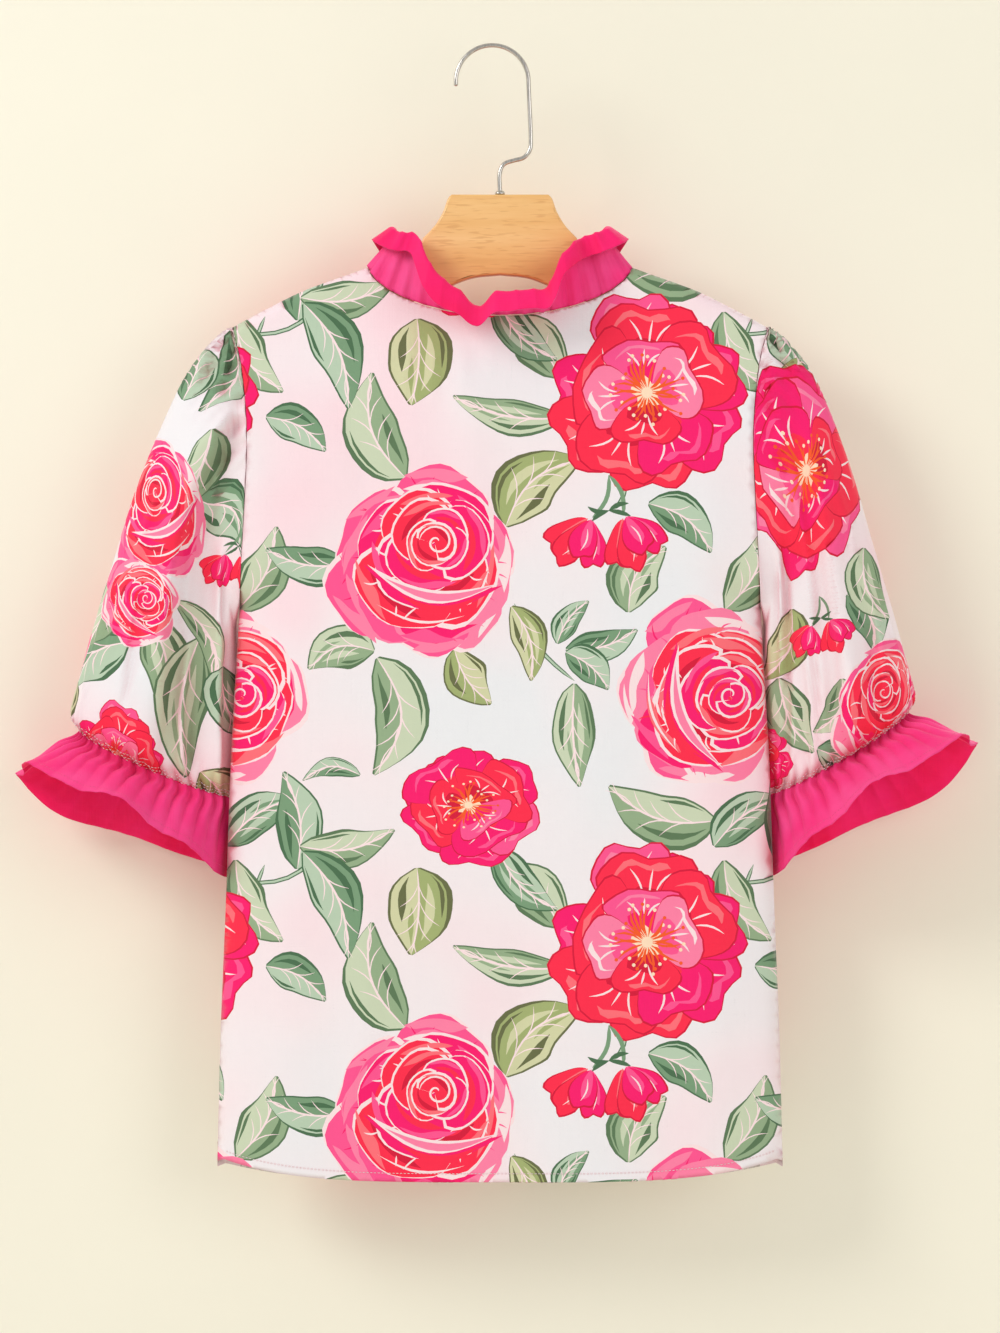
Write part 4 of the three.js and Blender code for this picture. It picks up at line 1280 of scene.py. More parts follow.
class Nodes:
    """A short way to write a material's nodes."""

    def __init__(self, name):
        self.material = bpy.data.materials.new(name)
        self.material.use_nodes = True
        self.tree = self.material.node_tree
        self.shader = self.tree.nodes["Principled BSDF"]

    def node(self, kind, inputs=None, **settings):
        node = self.tree.nodes.new(kind)
        for key, value in settings.items():
            setattr(node, key, value)
        for key, value in (inputs or {}).items():
            self.put(node.inputs[key], value)
        return node

    def put(self, socket, value):
        if isinstance(value, bpy.types.NodeSocket):
            self.tree.links.new(value, socket)
        else:
            socket.default_value = value

    def set(self, **values):
        for key, value in values.items():
            self.put(self.shader.inputs[key.replace("_", " ")], value)

    def places(self, scale):
        """Object coordinates, stretched by a scale along each axis."""
        coordinates = self.node("ShaderNodeTexCoord").outputs["Object"]
        return self.node("ShaderNodeMapping", {"Vector": coordinates, "Scale": scale}).outputs[0]

    def noise(self, scale, detail=2.0, size=1.0, roughness=0.5):
        inputs = {"Vector": self.places(scale), "Scale": size, "Detail": detail, "Roughness": roughness}
        return self.node("ShaderNodeTexNoise", inputs).outputs[0]

    def ramp(self, value, *stops):
        node = self.node("ShaderNodeValToRGB", {0: value})
        stop_list = node.color_ramp.elements
        while len(stop_list) < len(stops):
            stop_list.new(0.5)
        for stop, (at, colour) in zip(stop_list, stops):
            stop.position = at
            stop.color = (*linear(colour), 1)
        return node.outputs[0]

    def math(self, operation, *values):
        return self.node("ShaderNodeMath", dict(enumerate(values)), operation=operation).outputs[0]

    def blend(self, factor, a, b, kind="MIX"):
        node = self.node("ShaderNodeMix", data_type="RGBA", blend_type=kind)
        self.put(node.inputs[0], factor)
        self.put(node.inputs[6], a)
        self.put(node.inputs[7], b)
        return node.outputs[2]

    def bump(self, height, distance, strength=1.0, normal=None):
        inputs = {"Height": height, "Distance": distance, "Strength": strength}
        if normal is not None:
            inputs["Normal"] = normal
        return self.node("ShaderNodeBump", inputs).outputs[0]


def rgba(colour):
    return (*linear(colour), 1)


def woven_bump(nodes, pitch, depth):
    """Fine threads both ways with uneven slubs, as a normal and a value for the colour."""
    threads = []
    for axis in (0, 2):
        scale = [30.0, 30.0, 30.0]
        scale[axis] = 1 / pitch
        threads.append(nodes.noise(tuple(scale), 1.0))
    weave = nodes.math("ADD", threads[0], threads[1])
    fine = nodes.noise((900, 900, 900), 1.0)
    height = nodes.math("ADD", weave, nodes.math("MULTIPLY", fine, 0.35))
    crumple = nodes.noise((42, 42, 26), 3.0)
    soft = nodes.bump(crumple, 0.0022, 0.35)
    return nodes.bump(height, depth, 0.5, soft), weave


def painted_fold_shade(nodes, colour, shade_colour, reach):
    """The colour with painted shade: multiplied towards a pinkish shade colour where an ambient occlusion
    node finds the cloth lying in its own folds.
    """
    free = nodes.node("ShaderNodeAmbientOcclusion", {"Distance": reach}, samples=6).outputs["AO"]
    shade = nodes.ramp(free, (0.5, shade_colour), (0.97, (255, 255, 255)))
    return nodes.blend(1.0, colour, shade, "MULTIPLY")


def printed_cloth(name, fade):
    """The printed cloth: soft clouds of pink and cool white under the print, woven threads, a sheen and
    painted pinkish shade in its folds.

    Its wrong side shows the print faded.
    """
    nodes = Nodes(name)
    printed = nodes.node("ShaderNodeAttribute", attribute_name="print")
    clouds = nodes.noise((5.2, 5.2, 5.2), 2.0)
    ground = nodes.ramp(
        clouds,
        (0.34, (238, 240, 245)),
        (0.5, (247, 236, 241)),
        (0.66, (252, 222, 231)),
    )
    inks = nodes.blend(fade, printed.outputs["Color"], rgba((252, 236, 241)))
    normal, weave = woven_bump(nodes, 0.0011, 0.00025)
    coloured = nodes.blend(printed.outputs["Alpha"], ground, inks)
    tone = nodes.ramp(weave, (0.3, (236, 236, 238)), (0.7, (255, 255, 255)))
    woven = nodes.blend(0.55, coloured, tone, "MULTIPLY")
    nodes.set(
        # painted shade: pinkish darkening in the cloth's folds, from an ambient occlusion node
        Base_Color=painted_fold_shade(nodes, woven, (232, 168, 176), 0.022),
        Roughness=nodes.math("MULTIPLY_ADD", weave, 0.12, 0.62),
        Normal=normal,
        Sheen_Weight=0.25,
        Sheen_Roughness=0.45,
        Specular_IOR_Level=0.28,
    )
    return nodes.material


def pink_cloth(name, deep, light):
    """Plain dyed cloth of the frills, lighter where the threads stand up, with painted pinkish shade in its
    folds and gathers.
    """
    nodes = Nodes(name)
    normal, weave = woven_bump(nodes, 0.0009, 0.0003)
    patches = nodes.noise((24, 24, 24), 3.0)
    dyed = nodes.ramp(patches, (0.3, deep), (0.72, light))
    tone = nodes.ramp(weave, (0.3, (232, 232, 232)), (0.7, (255, 255, 255)))
    woven = nodes.blend(0.7, dyed, tone, "MULTIPLY")
    nodes.set(
        # painted shade: pinkish darkening in the frill's folds and gathers, from an ambient occlusion node
        Base_Color=painted_fold_shade(nodes, woven, (226, 150, 190), 0.012),
        Roughness=nodes.math("MULTIPLY_ADD", weave, 0.15, 0.55),
        Normal=normal,
        Sheen_Weight=0.35,
        Sheen_Roughness=0.4,
        Sheen_Tint=rgba((255, 170, 205)),
        Specular_IOR_Level=0.3,
    )
    return nodes.material


def thread(name, colour):
    """Sewing thread, with a twist across each stitch."""
    nodes = Nodes(name)
    twist = nodes.noise((1600, 1600, 1600), 1.0)
    tone = nodes.ramp(twist, (0.3, tuple(0.86 * c for c in colour)), (0.7, colour))
    nodes.set(Base_Color=tone, Roughness=0.6, Normal=nodes.bump(twist, 0.0001), Sheen_Weight=0.2)
    return nodes.material


def beech_wood(name):
    """Varnished beech: warm long grain with the short dark flecks of its rays."""
    nodes = Nodes(name)
    grain = nodes.noise((5, 60, 62), 5.0, roughness=0.62)
    broad = nodes.noise((3, 14, 13), 2.0)
    base = nodes.ramp(
        nodes.math("MULTIPLY_ADD", broad, 0.45, nodes.math("MULTIPLY", grain, 0.55)),
        (0.36, (222, 164, 92)),
        (0.5, (240, 188, 116)),
        (0.64, (250, 206, 140)),
    )
    flecks = nodes.noise((70, 620, 760), 1.0)
    fleck_mask = nodes.ramp(flecks, (0.58, (0, 0, 0)), (0.68, (255, 255, 255)))
    coloured = nodes.blend(nodes.math("MULTIPLY", fleck_mask, 0.36), base, rgba((206, 142, 74)))
    nodes.set(
        Base_Color=coloured,
        Roughness=nodes.math("MULTIPLY_ADD", grain, 0.2, 0.28),
        Normal=nodes.bump(grain, 0.0004, 0.25),
        Coat_Weight=0.35,
        Coat_Roughness=0.2,
    )
    return nodes.material


def steel(name, rough):
    """Bright drawn steel wire with faint lengthwise marks."""
    nodes = Nodes(name)
    marks = nodes.noise((1200, 1200, 40), 2.0)
    tone = nodes.ramp(marks, (0.3, (178, 174, 168)), (0.7, (216, 212, 206)))
    nodes.set(
        Base_Color=tone,
        Metallic=1.0,
        Roughness=nodes.math("MULTIPLY_ADD", marks, 0.12, rough),
        Normal=nodes.bump(marks, 0.0001, 0.3),
    )
    return nodes.material


def finish(name):
    """A material by name, made when first asked for."""
    makers = {
        "print_outside": lambda: printed_cloth("print_outside", 0.0),
        "print_inside": lambda: printed_cloth("print_inside", 0.55),
        "frill_outside": lambda: pink_cloth("frill_outside", (250, 44, 128), (255, 84, 156)),
        # the frills' inner face: the same dyed cloth in a darker, deeper pink, as painted shade
        "frill_inside_shaded": lambda: pink_cloth("frill_inside_shaded", (250, 6, 92), (255, 26, 118)),
        "beech_grain": lambda: beech_wood("beech_grain"),
        "drawn_steel": lambda: steel("drawn_steel", 0.16),
        "thread_white": lambda: thread("thread_white", (250, 240, 244)),
        "thread_pink": lambda: thread("thread_pink", (255, 64, 138)),
    }
    return bpy.data.materials.get(name) or makers[name]()


# Stitches by Geometry Nodes


def stitch_group():
    """A node group that lays a short stitch at each pitch along its input's edges."""
    group = bpy.data.node_groups.get("stitch_run")
    if group:
        return group
    group = bpy.data.node_groups.new("stitch_run", "GeometryNodeTree")
    face = group.interface
    face.new_socket("Geometry", in_out="INPUT", socket_type="NodeSocketGeometry")
    for label in ("Pitch", "Length", "Width"):
        face.new_socket(label, in_out="INPUT", socket_type="NodeSocketFloat")
    face.new_socket("Material", in_out="INPUT", socket_type="NodeSocketMaterial")
    face.new_socket("Geometry", in_out="OUTPUT", socket_type="NodeSocketGeometry")
    make = group.nodes.new
    start, end = make("NodeGroupInput"), make("NodeGroupOutput")
    to_curve, to_points = make("GeometryNodeMeshToCurve"), make("GeometryNodeCurveToPoints")
    to_points.mode = "LENGTH"
    ball = make("GeometryNodeMeshUVSphere")
    ball.inputs["Segments"].default_value = 6
    ball.inputs["Rings"].default_value = 4
    ball.inputs["Radius"].default_value = 0.5
    size = make("ShaderNodeCombineXYZ")
    place = make("GeometryNodeInstanceOnPoints")
    realize, smooth, paint = (
        make("GeometryNodeRealizeInstances"),
        make("GeometryNodeSetShadeSmooth"),
        make("GeometryNodeSetMaterial"),
    )
    join = group.links.new
    join(start.outputs["Geometry"], to_curve.inputs["Mesh"])
    join(to_curve.outputs["Curve"], to_points.inputs["Curve"])
    join(start.outputs["Pitch"], to_points.inputs["Length"])
    join(start.outputs["Width"], size.inputs["X"])
    join(start.outputs["Width"], size.inputs["Y"])
    join(start.outputs["Length"], size.inputs["Z"])
    join(to_points.outputs["Points"], place.inputs["Points"])
    join(to_points.outputs["Rotation"], place.inputs["Rotation"])
    join(ball.outputs["Mesh"], place.inputs["Instance"])
    join(size.outputs["Vector"], place.inputs["Scale"])
    join(place.outputs["Instances"], realize.inputs["Geometry"])
    join(realize.outputs["Geometry"], smooth.inputs["Geometry"])
    join(smooth.outputs["Geometry"], paint.inputs["Geometry"])
    join(start.outputs["Material"], paint.inputs["Material"])
    join(paint.outputs["Geometry"], end.inputs["Geometry"])
    return group


def stitch_line(name, lines, settings, thread_name, closed=False):
    """Stitches along lines of points in millimetres, as one plain mesh piece."""
    points, edges = [], []
    for line in lines:
        first = len(points)
        points.extend(line.tolist())
        edges.extend((first + k, first + k + 1) for k in range(len(line) - 1))
        if closed:
            edges.append((first + len(line) - 1, first))
    mesh = bpy.data.meshes.new(name)
    mesh.from_pydata((np.array(points) * MM).tolist(), edges, [])
    obj = bpy.data.objects.new(name, mesh)
    bpy.context.scene.collection.objects.link(obj)
    group = stitch_group()
    modifier = obj.modifiers.new("stitches", "NODES")
    modifier.node_group = group
    values = {
        "Pitch": settings.stitch_pitch,
        "Length": settings.stitch_pitch * 0.72,
        "Width": settings.stitch_width,
        "Material": finish(thread_name),
    }
    for item in group.interface.items_tree:
        if item.item_type == "SOCKET" and item.in_out == "INPUT" and item.name in values:
            modifier[item.identifier] = values[item.name]
    apply_modifiers(obj)
    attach(obj, BODY)
    return obj


# Making the pieces

FRONT_SHIFT = (120, 60)  # how far the print lies moved on the front
NO_REPEAT = (10000, 10000)  # a sleeve's print comes once
TOP_ROWS = (0.5, 1.2, 2.2, 3.6, 5.4, 7.4, 9.6, 12.5)  # depths of the close rows below a panel's top
FINE_CAP = 0.16  # shares of the sleeve's length between which the cloth needs fewer points
FINE_CUFF = 0.86
SLEEVE_COLUMNS = 241
FAR_SIDE_LEAN = math.radians(-34)  # lean of the far side's rows in the flat cloth; the cuff's lies level
SETTLING_TURNS = 8
SHIRRING_ROWS = (0.962, 0.98, 0.996)  # share of the sleeve's length at each row of elastic stitches
CUFF_HEM_ROW = 0.885  # share of the cuff frill's width at its hem stitches
NECK_HEM_ROW = 2.7  # the neck frill's hem stitches: 2 is the end of its bend and 3 its edge
RING_POINTS = 720
CUFF_PLEAT_POINTS = 13
NECK_PLEAT_POINTS = 14


def panel_outline(panel, step):
    """The panel's outline as flat places, from the hem's left corner round to the right."""
    side_z = np.arange(HEM_Z + HEM_RISE - panel.longer, shoulder_line(TIP_X), step)
    side_z = np.append(side_z, shoulder_line(TIP_X))
    right_side = np.stack([half_width(side_z), side_z], axis=-1)
    hem_x = np.arange(-half_width(HEM_Z) + step, half_width(HEM_Z) - step / 2, step)
    hem = np.stack([hem_x, panel.hem(hem_x)], axis=-1)
    shoulder_x = np.arange(TIP_X - step, NECK_X, -step)
    shoulder = np.stack([shoulder_x, shoulder_line(shoulder_x)], axis=-1)
    neck_x = NECK_X * np.sin(np.linspace(math.pi / 2, -math.pi / 2, 90))
    neck = np.stack([neck_x, panel.neck(neck_x)], axis=-1)
    left_shoulder, left_side = (line[::-1] * np.array([-1, 1]) for line in (shoulder, right_side))
    return np.concatenate([hem, right_side, shoulder, neck, left_shoulder, left_side])


def panel_inside(panel, spacing):
    """Flat places inside the panel: an even grid, closer rows along the shoulders, neck and hem."""
    x = np.arange(-198, 198.1, spacing)
    z = np.arange(-800, -150, spacing)
    grid = np.stack(np.meshgrid(x, z), axis=-1)
    grid[1::2, :, 0] += spacing / 2
    grid = grid.reshape(-1, 2)
    across = np.arange(-186, 186.1, spacing * 0.8)
    rows = []
    for drop in TOP_ROWS:
        rows.append(np.stack([across, panel.top(across) - drop], axis=-1))
    for rise in (3.0, HEM_FOLD - 0.6, HEM_FOLD + 0.4):
        rows.append(np.stack([across, panel.hem(across) + rise], axis=-1))
    below_top = grid[:, 1] < panel.top(grid[:, 0]) - 14
    above_hem = grid[:, 1] > panel.hem(grid[:, 0]) + HEM_FOLD + 2
    inside = np.concatenate([grid[below_top & above_hem], *rows])
    clear = np.abs(inside[:, 0]) < half_width(inside[:, 1]) - 1.5
    return inside[clear]


def make_panel(panel, name, node, settings, shift):
    """A body panel in printed cloth, with the stitches of its hem."""
    outline = panel_outline(panel, settings.cloth_grid)
    inner = panel_inside(panel, settings.cloth_grid)
    low, high = outline.min(axis=0), outline.max(axis=0)
    shapes = print_shapes(FLOWERS, LEAVES, STEMS, low, high, REPEAT, shift)
    places, triangles, inks = cut_cloth(outline, inner, shapes)
    points = panel.place(places[:, 0], places[:, 1])
    if panel.facing > 0:
        triangles = triangles[:, ::-1]
    materials = [finish("print_outside"), finish("print_inside")]
    obj = mesh_object(name, points, triangles, materials, inks)
    give_thickness(obj, settings.cloth_thickness)
    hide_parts(node)
    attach(obj, BODY)
    across = np.arange(-192, 192.1, 2.0)
    line = panel.place(across, panel.hem(across) + HEM_FOLD - 0.5)
    line[:, 1] += panel.facing * 0.12
    stitches = stitch_line(f"{name}_hem_stitches", [line], settings, "thread_white")
    return obj


def sleeve_flat(sleeve, t, v):
    """Flat place of the sleeve's cloth: t is 0 at the outer edge, 1 at the back's seam, -1 at the front's."""
    outer, inner = sleeve_edges(sleeve, v)
    near = inner - outer
    lean = FAR_SIDE_LEAN * (1 - v) * (0.4 + 0.6 * ease(0, 0.12, v))
    reach = np.linalg.norm(near, axis=-1, keepdims=True)
    far = reach * np.stack([np.cos(lean), np.sin(lean)], axis=-1)
    place = outer + np.where((t > 0)[..., None], near, far) * np.abs(t)[..., None]
    return place * np.array([sleeve["sign"], 1])


def sleeve_angles(sleeve, t, v):
    """The angle round the sleeve of each share t, by length along its cloth."""
    found = np.empty_like(t)
    for r in range(t.shape[0]):
        for side in (1, -1):
            angle = np.linspace(0, side * math.pi, 91)
            ring = sleeve_form(sleeve, angle, np.full_like(angle, v[r, 0]))
            length = np.concatenate([[0], np.cumsum(np.linalg.norm(np.diff(ring, axis=0), axis=1))])
            share = length / length[-1]
            mask = t[r] * side >= 0
            found[r, mask] = np.interp(np.abs(t[r, mask]), share, angle)
    return found


def sleeve_shares(flat_grid, v, angles, places):
    """The angle and the share of the sleeve's length at flat places, read from the grid's cells."""
    width = flat_grid.shape[1]
    flat_list = flat_grid.reshape(-1, 2)
    cells = grid_faces(len(flat_grid), width, False)
    tree = BVHTree.FromPolygons([(x, z, 0) for x, z in flat_list], cells, all_triangles=False)
    v_of, angle_of = v.ravel(), angles.ravel()
    found_v, found_angle = np.empty(len(places)), np.empty(len(places))
    for k, (x, z) in enumerate(places):
        _, _, face, _ = tree.find_nearest((x, z, 0))
        corners = list(cells[face])
        p = flat_list[corners]
        a, b, d = p[1] - p[0], p[3] - p[0], np.array([x, z]) - p[0]
        skew = p[2] - p[1] - p[3] + p[0]
        s = q = 0.5
        for _ in range(SETTLING_TURNS):
            error = s * a + q * b + s * q * skew - d
            across, along = a + q * skew, b + s * skew
            size = across[0] * along[1] - across[1] * along[0]
            s -= (error[0] * along[1] - error[1] * along[0]) / size
            q -= (across[0] * error[1] - across[1] * error[0]) / size
        s, q = min(max(s, 0), 1), min(max(q, 0), 1)
        first, second, third, fourth = angle_of[corners]
        found_v[k] = mix(v_of[corners[0]], v_of[corners[3]], q)
        found_angle[k] = mix(mix(first, second, s), mix(fourth, third, s), q)
    return found_angle, found_v


def make_sleeve(sleeve, settings, flowers, leaves):
    """A sleeve in printed cloth, gathered at its cap and, by rows of elastic stitches, at its cuff."""
    side = sleeve["side"]
    cap, cuff = np.linspace(0, FINE_CAP, 12), np.linspace(FINE_CUFF, 1, 14)
    rows = np.concatenate([cap, np.linspace(FINE_CAP, FINE_CUFF, 44)[1:], cuff[1:]])
    columns = np.linspace(-1, 1, SLEEVE_COLUMNS)
    v, t = np.meshgrid(rows, columns, indexing="ij")
    flat_grid = sleeve_flat(sleeve, t, v)
    angles = sleeve_angles(sleeve, t, v)
    bottom, top = flat_grid[0], flat_grid[-1]
    rim = np.concatenate([bottom, flat_grid[1:, -1], top[-2::-1], flat_grid[-2:0:-1, 0]])
    if signed_area(rim) < 0:
        rim = rim[::-1]
    gathered = (rows >= FINE_CUFF) | (rows < FINE_CAP)
    chosen = gathered[:, None] | (np.arange(len(columns)) % 2 == 0)[None, :]
    chosen[0], chosen[-1], chosen[:, 0], chosen[:, -1] = False, False, False, False
    shapes = print_shapes(flowers, leaves, (), rim.min(axis=0), rim.max(axis=0), NO_REPEAT)
    places, triangles, inks = cut_cloth(rim, flat_grid[chosen], shapes)
    found_angle, found_v = sleeve_shares(flat_grid, v, angles, places)
    points = sleeve_place(sleeve, found_angle, found_v, settings.gather_depth)
    materials = [finish("print_outside"), finish("print_inside")]
    obj = mesh_object(f"{side}_sleeve", points, triangles, materials, inks)
    give_thickness(obj, settings.cloth_thickness)
    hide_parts(f"sleeve_{side}")
    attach(obj, BODY)
    angle = np.linspace(0, 2 * math.pi, RING_POINTS, endpoint=False)
    lines = []
    for at in SHIRRING_ROWS:
        line = sleeve_place(sleeve, angle, np.full_like(angle, at), settings.gather_depth * 1.12)
        lines.append(line)
    stitches = stitch_line(f"{side}_sleeve_shirring", lines, settings, "thread_white", True)
    return obj


def make_cuff_frill(sleeve, settings):
    """The pink frill round a sleeve's end, with the stitches of its hem."""
    side = sleeve["side"]
    columns = CUFF_GATHERS * CUFF_PLEAT_POINTS
    angle, share = np.meshgrid(
        np.linspace(0, 2 * math.pi, columns, endpoint=False),
        np.concatenate([[0, 0.01, 0.03], np.linspace(0.06, 0.86, 19), [0.875, 0.89, 0.93, 0.97, 1.0]]),
    )
    points = frill_place(sleeve, angle, share, settings.gather_depth)
    faces = grid_faces(len(share), columns, True)
    if sleeve["sign"] < 0:
        faces = [face[::-1] for face in faces]
    # the inner face takes the darker copy of the frill cloth, as painted shade
    materials = [finish("frill_outside"), finish("frill_inside_shaded")]
    obj = mesh_object(f"{side}_cuff_frill", points.reshape(-1, 3), faces, materials)
    give_thickness(obj, settings.cloth_thickness)
    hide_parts(f"cuff_frill_{side}")
    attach(obj, BODY)
    ring = np.linspace(0, 2 * math.pi, RING_POINTS, endpoint=False)
    line = frill_place(sleeve, ring, np.full_like(ring, CUFF_HEM_ROW), settings.gather_depth * 1.05)
    stitches = stitch_line(f"{side}_cuff_hem_stitches", [line], settings, "thread_pink", True)
    return obj


def make_collar_frill(settings):
    """The pink frill round the neck, with the stitches of its hem."""
    columns = COLLAR_GATHERS * NECK_PLEAT_POINTS
    grid, shares = collar_grid(columns, settings.gather_depth)
    obj = mesh_object(
        "neck_frill",
        grid.reshape(-1, 3),
        grid_faces(len(grid), columns, True),
        # the inner face takes the darker copy of the frill cloth, as painted shade
        [finish("frill_outside"), finish("frill_inside_shaded")],
    )
    give_thickness(obj, settings.cloth_thickness)
    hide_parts("collar_frill")
    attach(obj, BODY)
    edge = grid[np.searchsorted(shares, NECK_HEM_ROW)].copy()
    stitches = stitch_line("neck_frill_hem_stitches", [edge], settings, "thread_pink", True)
    return obj


# Wooden body and hook of the hanger

WOOD_UNDERSIDE = table(
    "x z", (0, -160.3), (20, -162.6), (38.5, -169.7), (60, -178.5), (93, -190), (130, -203), (165, -219.5)
)
ARM_END = 171
wood_underside = curve(WOOD_UNDERSIDE, "x", "z")
# The block's outline from its top corner down to the arm: distance from the middle and below the top
WOOD_BLOCK = table("below x", (0, 34), (2.5, 36.5), (12, 40), (22, 46), (30.5, 54))
block_x = curve(WOOD_BLOCK, "below", "x")


def wood_outline():
    """The wooden body's outline on the right side, from the middle of its top to the middle below."""

    def upper(x):
        return shoulder_line(x) - WOOD_DROP - CLOTH_WALL

    below = np.linspace(0, 30.5, 22)
    block = np.stack([block_x(below), BLOCK_TOP - below], axis=-1)
    arm_x = np.linspace(58, ARM_END - 9, 40)
    arm = np.stack([arm_x, upper(arm_x)], axis=-1)
    tip = np.array([ARM_END, upper(ARM_END)]) + np.array([(-3, -0.2), (1.5, -9), (1, -19)])
    under_x = np.linspace(ARM_END - 6, 0, 60)
    under = np.stack([under_x, wood_underside(under_x)], axis=-1)
    top = np.array([[0, BLOCK_TOP], [17, BLOCK_TOP]])
    return np.concatenate([top, block, arm, tip, under])


def make_hanger_wood():
    """The wood: its outline thickened, with rounded edges."""
    right = wood_outline()
    left = right[1:-1][::-1] * np.array([-1, 1])
    ring = np.concatenate([right, left])
    lead = unit(np.roll(ring, -1, axis=0) - np.roll(ring, 1, axis=0))
    inward = np.stack([lead[:, 1], -lead[:, 0]], axis=-1)
    rows = []
    half = WOOD_THICK / 2
    for turn in np.linspace(0, math.pi / 2, 6):
        depth = half - WOOD_ROUND * (1 - math.sin(turn))
        rows.append((ring + inward * WOOD_ROUND * (1 - math.cos(turn)), -depth))
    profile = rows[::-1] + [(inset, -y) for inset, y in rows]
    points = []
    for inset, y in profile:
        points.extend((x + STEM_X, y, z) for x, z in inset)
    count = len(ring)
    faces = grid_faces(len(profile), count, True)
    obj = mesh_object("hanger_wood_body", points, faces, [finish("beech_grain")])
    mesh = bmesh.new()
    mesh.from_mesh(obj.data)
    mesh.verts.ensure_lookup_table()
    for first in (0, (len(profile) - 1) * count):
        cap = [mesh.verts[first + k] for k in range(count)]
        face = mesh.faces.new(cap)
        face.smooth = False
        bmesh.ops.triangulate(mesh, faces=[face])
    bmesh.ops.recalc_face_normals(mesh, faces=mesh.faces)
    mesh.to_mesh(obj.data)
    mesh.free()
    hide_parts("hanger_wood")
    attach(obj, BODY)
    return obj


def hook_path():
    """The hook's middle line: a half round bend, a straight leg and a crank back to the stem."""
    centre = WIRE_R - BEND_R
    turn = np.radians(np.arange(184, -5, -6))
    bend = np.stack([BEND_R * np.cos(turn), centre + BEND_R * np.sin(turn)], axis=-1)
    leg = np.array(
        [
            (LEG_X - 0.6, -48),
            (LEG_X, CRANK_Z + 12),
            (LEG_X - 0.6, CRANK_Z + 4),
            (LEG_X - 5, CRANK_Z - 1.5),
            (STEM_X + 10, CRANK_Z - 3.5),
            (STEM_X + 3, CRANK_Z - 6),
            (STEM_X, CRANK_Z - 11.5),
            (STEM_X, BLOCK_TOP + 0.5),
        ]
    )
    points = np.concatenate([bend, leg])
    return smooth_path(points, 6)


def smooth_path(points, between):
    """A centripetal curve through points, with more points between them."""
    padded = np.concatenate([[2 * points[0] - points[1]], points, [2 * points[-1] - points[-2]]])
    found = []
    for k in range(len(points) - 1):
        p = padded[k : k + 4]
        knots = np.concatenate([[0], np.cumsum(np.sqrt(np.linalg.norm(np.diff(p, axis=0), axis=1)))])
        for t in np.linspace(knots[1], knots[2], between, endpoint=False):
            a = [mix(p[i], p[i + 1], (t - knots[i]) / (knots[i + 1] - knots[i])) for i in range(3)]
            b = [mix(a[i], a[i + 1], (t - knots[i]) / (knots[i + 2] - knots[i])) for i in range(2)]
            found.append(mix(b[0], b[1], (t - knots[1]) / (knots[2] - knots[1])))
    found.append(points[-1])
    return np.array(found)


def make_hook():
    """The wire: a round tube with a domed tip."""
    path = hook_path()
    lead = unit(np.gradient(path, axis=0))
    aside = np.stack([lead[:, 1], -lead[:, 0]], axis=-1)
    sides = 20
    turn = 2 * math.pi * np.arange(sides) / sides
    rings = []
    dome = [(1 - math.cos(a), math.sin(a)) for a in np.linspace(0.05, math.pi / 2, 5)]
    for back, share in dome:
        rings.append((path[0] - lead[0] * WIRE_R * (1 - back), aside[0], share))
    rings += [(p, a, 1.0) for p, a in zip(path[1:], aside[1:])]
    points = []
    for middle, out, share in rings:
        for a in turn:
            x, z = middle + out * math.cos(a) * WIRE_R * share
            points.append((x, math.sin(a) * WIRE_R * share, z))
    obj = mesh_object("hook_wire", points, grid_faces(len(rings), sides, True), [finish("drawn_steel")])
    mesh = bmesh.new()
    mesh.from_mesh(obj.data)
    mesh.verts.ensure_lookup_table()
    mesh.faces.new([mesh.verts[k] for k in range(sides)])
    mesh.faces.new([mesh.verts[(len(rings) - 1) * sides + k] for k in range(sides)])
    bmesh.ops.recalc_face_normals(mesh, faces=mesh.faces)
    mesh.to_mesh(obj.data)
    mesh.free()
    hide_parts("hanger_hook")
    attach(obj, BODY)
    return obj


def make_nut():
    """The collar nut: a low turned ring with a rounded shoulder."""
    profile = [(0.0, 0.0), (3.3, 0.0), (3.6, 0.3), (3.6, 1.2), (3.3, 1.7), (2.7, 2.4), (2.3, 2.7), (0.0, 2.8)]
    sides = 32
    points = []
    for reach, height in profile:
        for k in range(sides):
            a = 2 * math.pi * k / sides
            r = max(reach, 0.01)
            points.append((STEM_X + r * math.cos(a), r * math.sin(a), BLOCK_TOP + SEAM_GAP + height))
    obj = mesh_object("hook_collar", points, grid_faces(len(profile), sides, True), [finish("drawn_steel")])
    mesh = bmesh.new()
    mesh.from_mesh(obj.data)
    bmesh.ops.remove_doubles(mesh, verts=mesh.verts, dist=0.00005)
    bmesh.ops.recalc_face_normals(mesh, faces=mesh.faces)
    mesh.to_mesh(obj.data)
    mesh.free()
    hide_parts("hook_nut")
    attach(obj, BODY)
    return obj


# Stage, lights and camera

PHOTO_SIZE = (1000, 1333)
PHOTO_SCALE = 0.70  # millimetres of the blouse across one pixel of the photograph
PHOTO_CENTRE = (STEM_X, -436)  # the photograph's middle, on the plane of the blouse's back
CAMERA_AWAY = 3200
WALL_Y = 64
FLOOR_Z = -1500


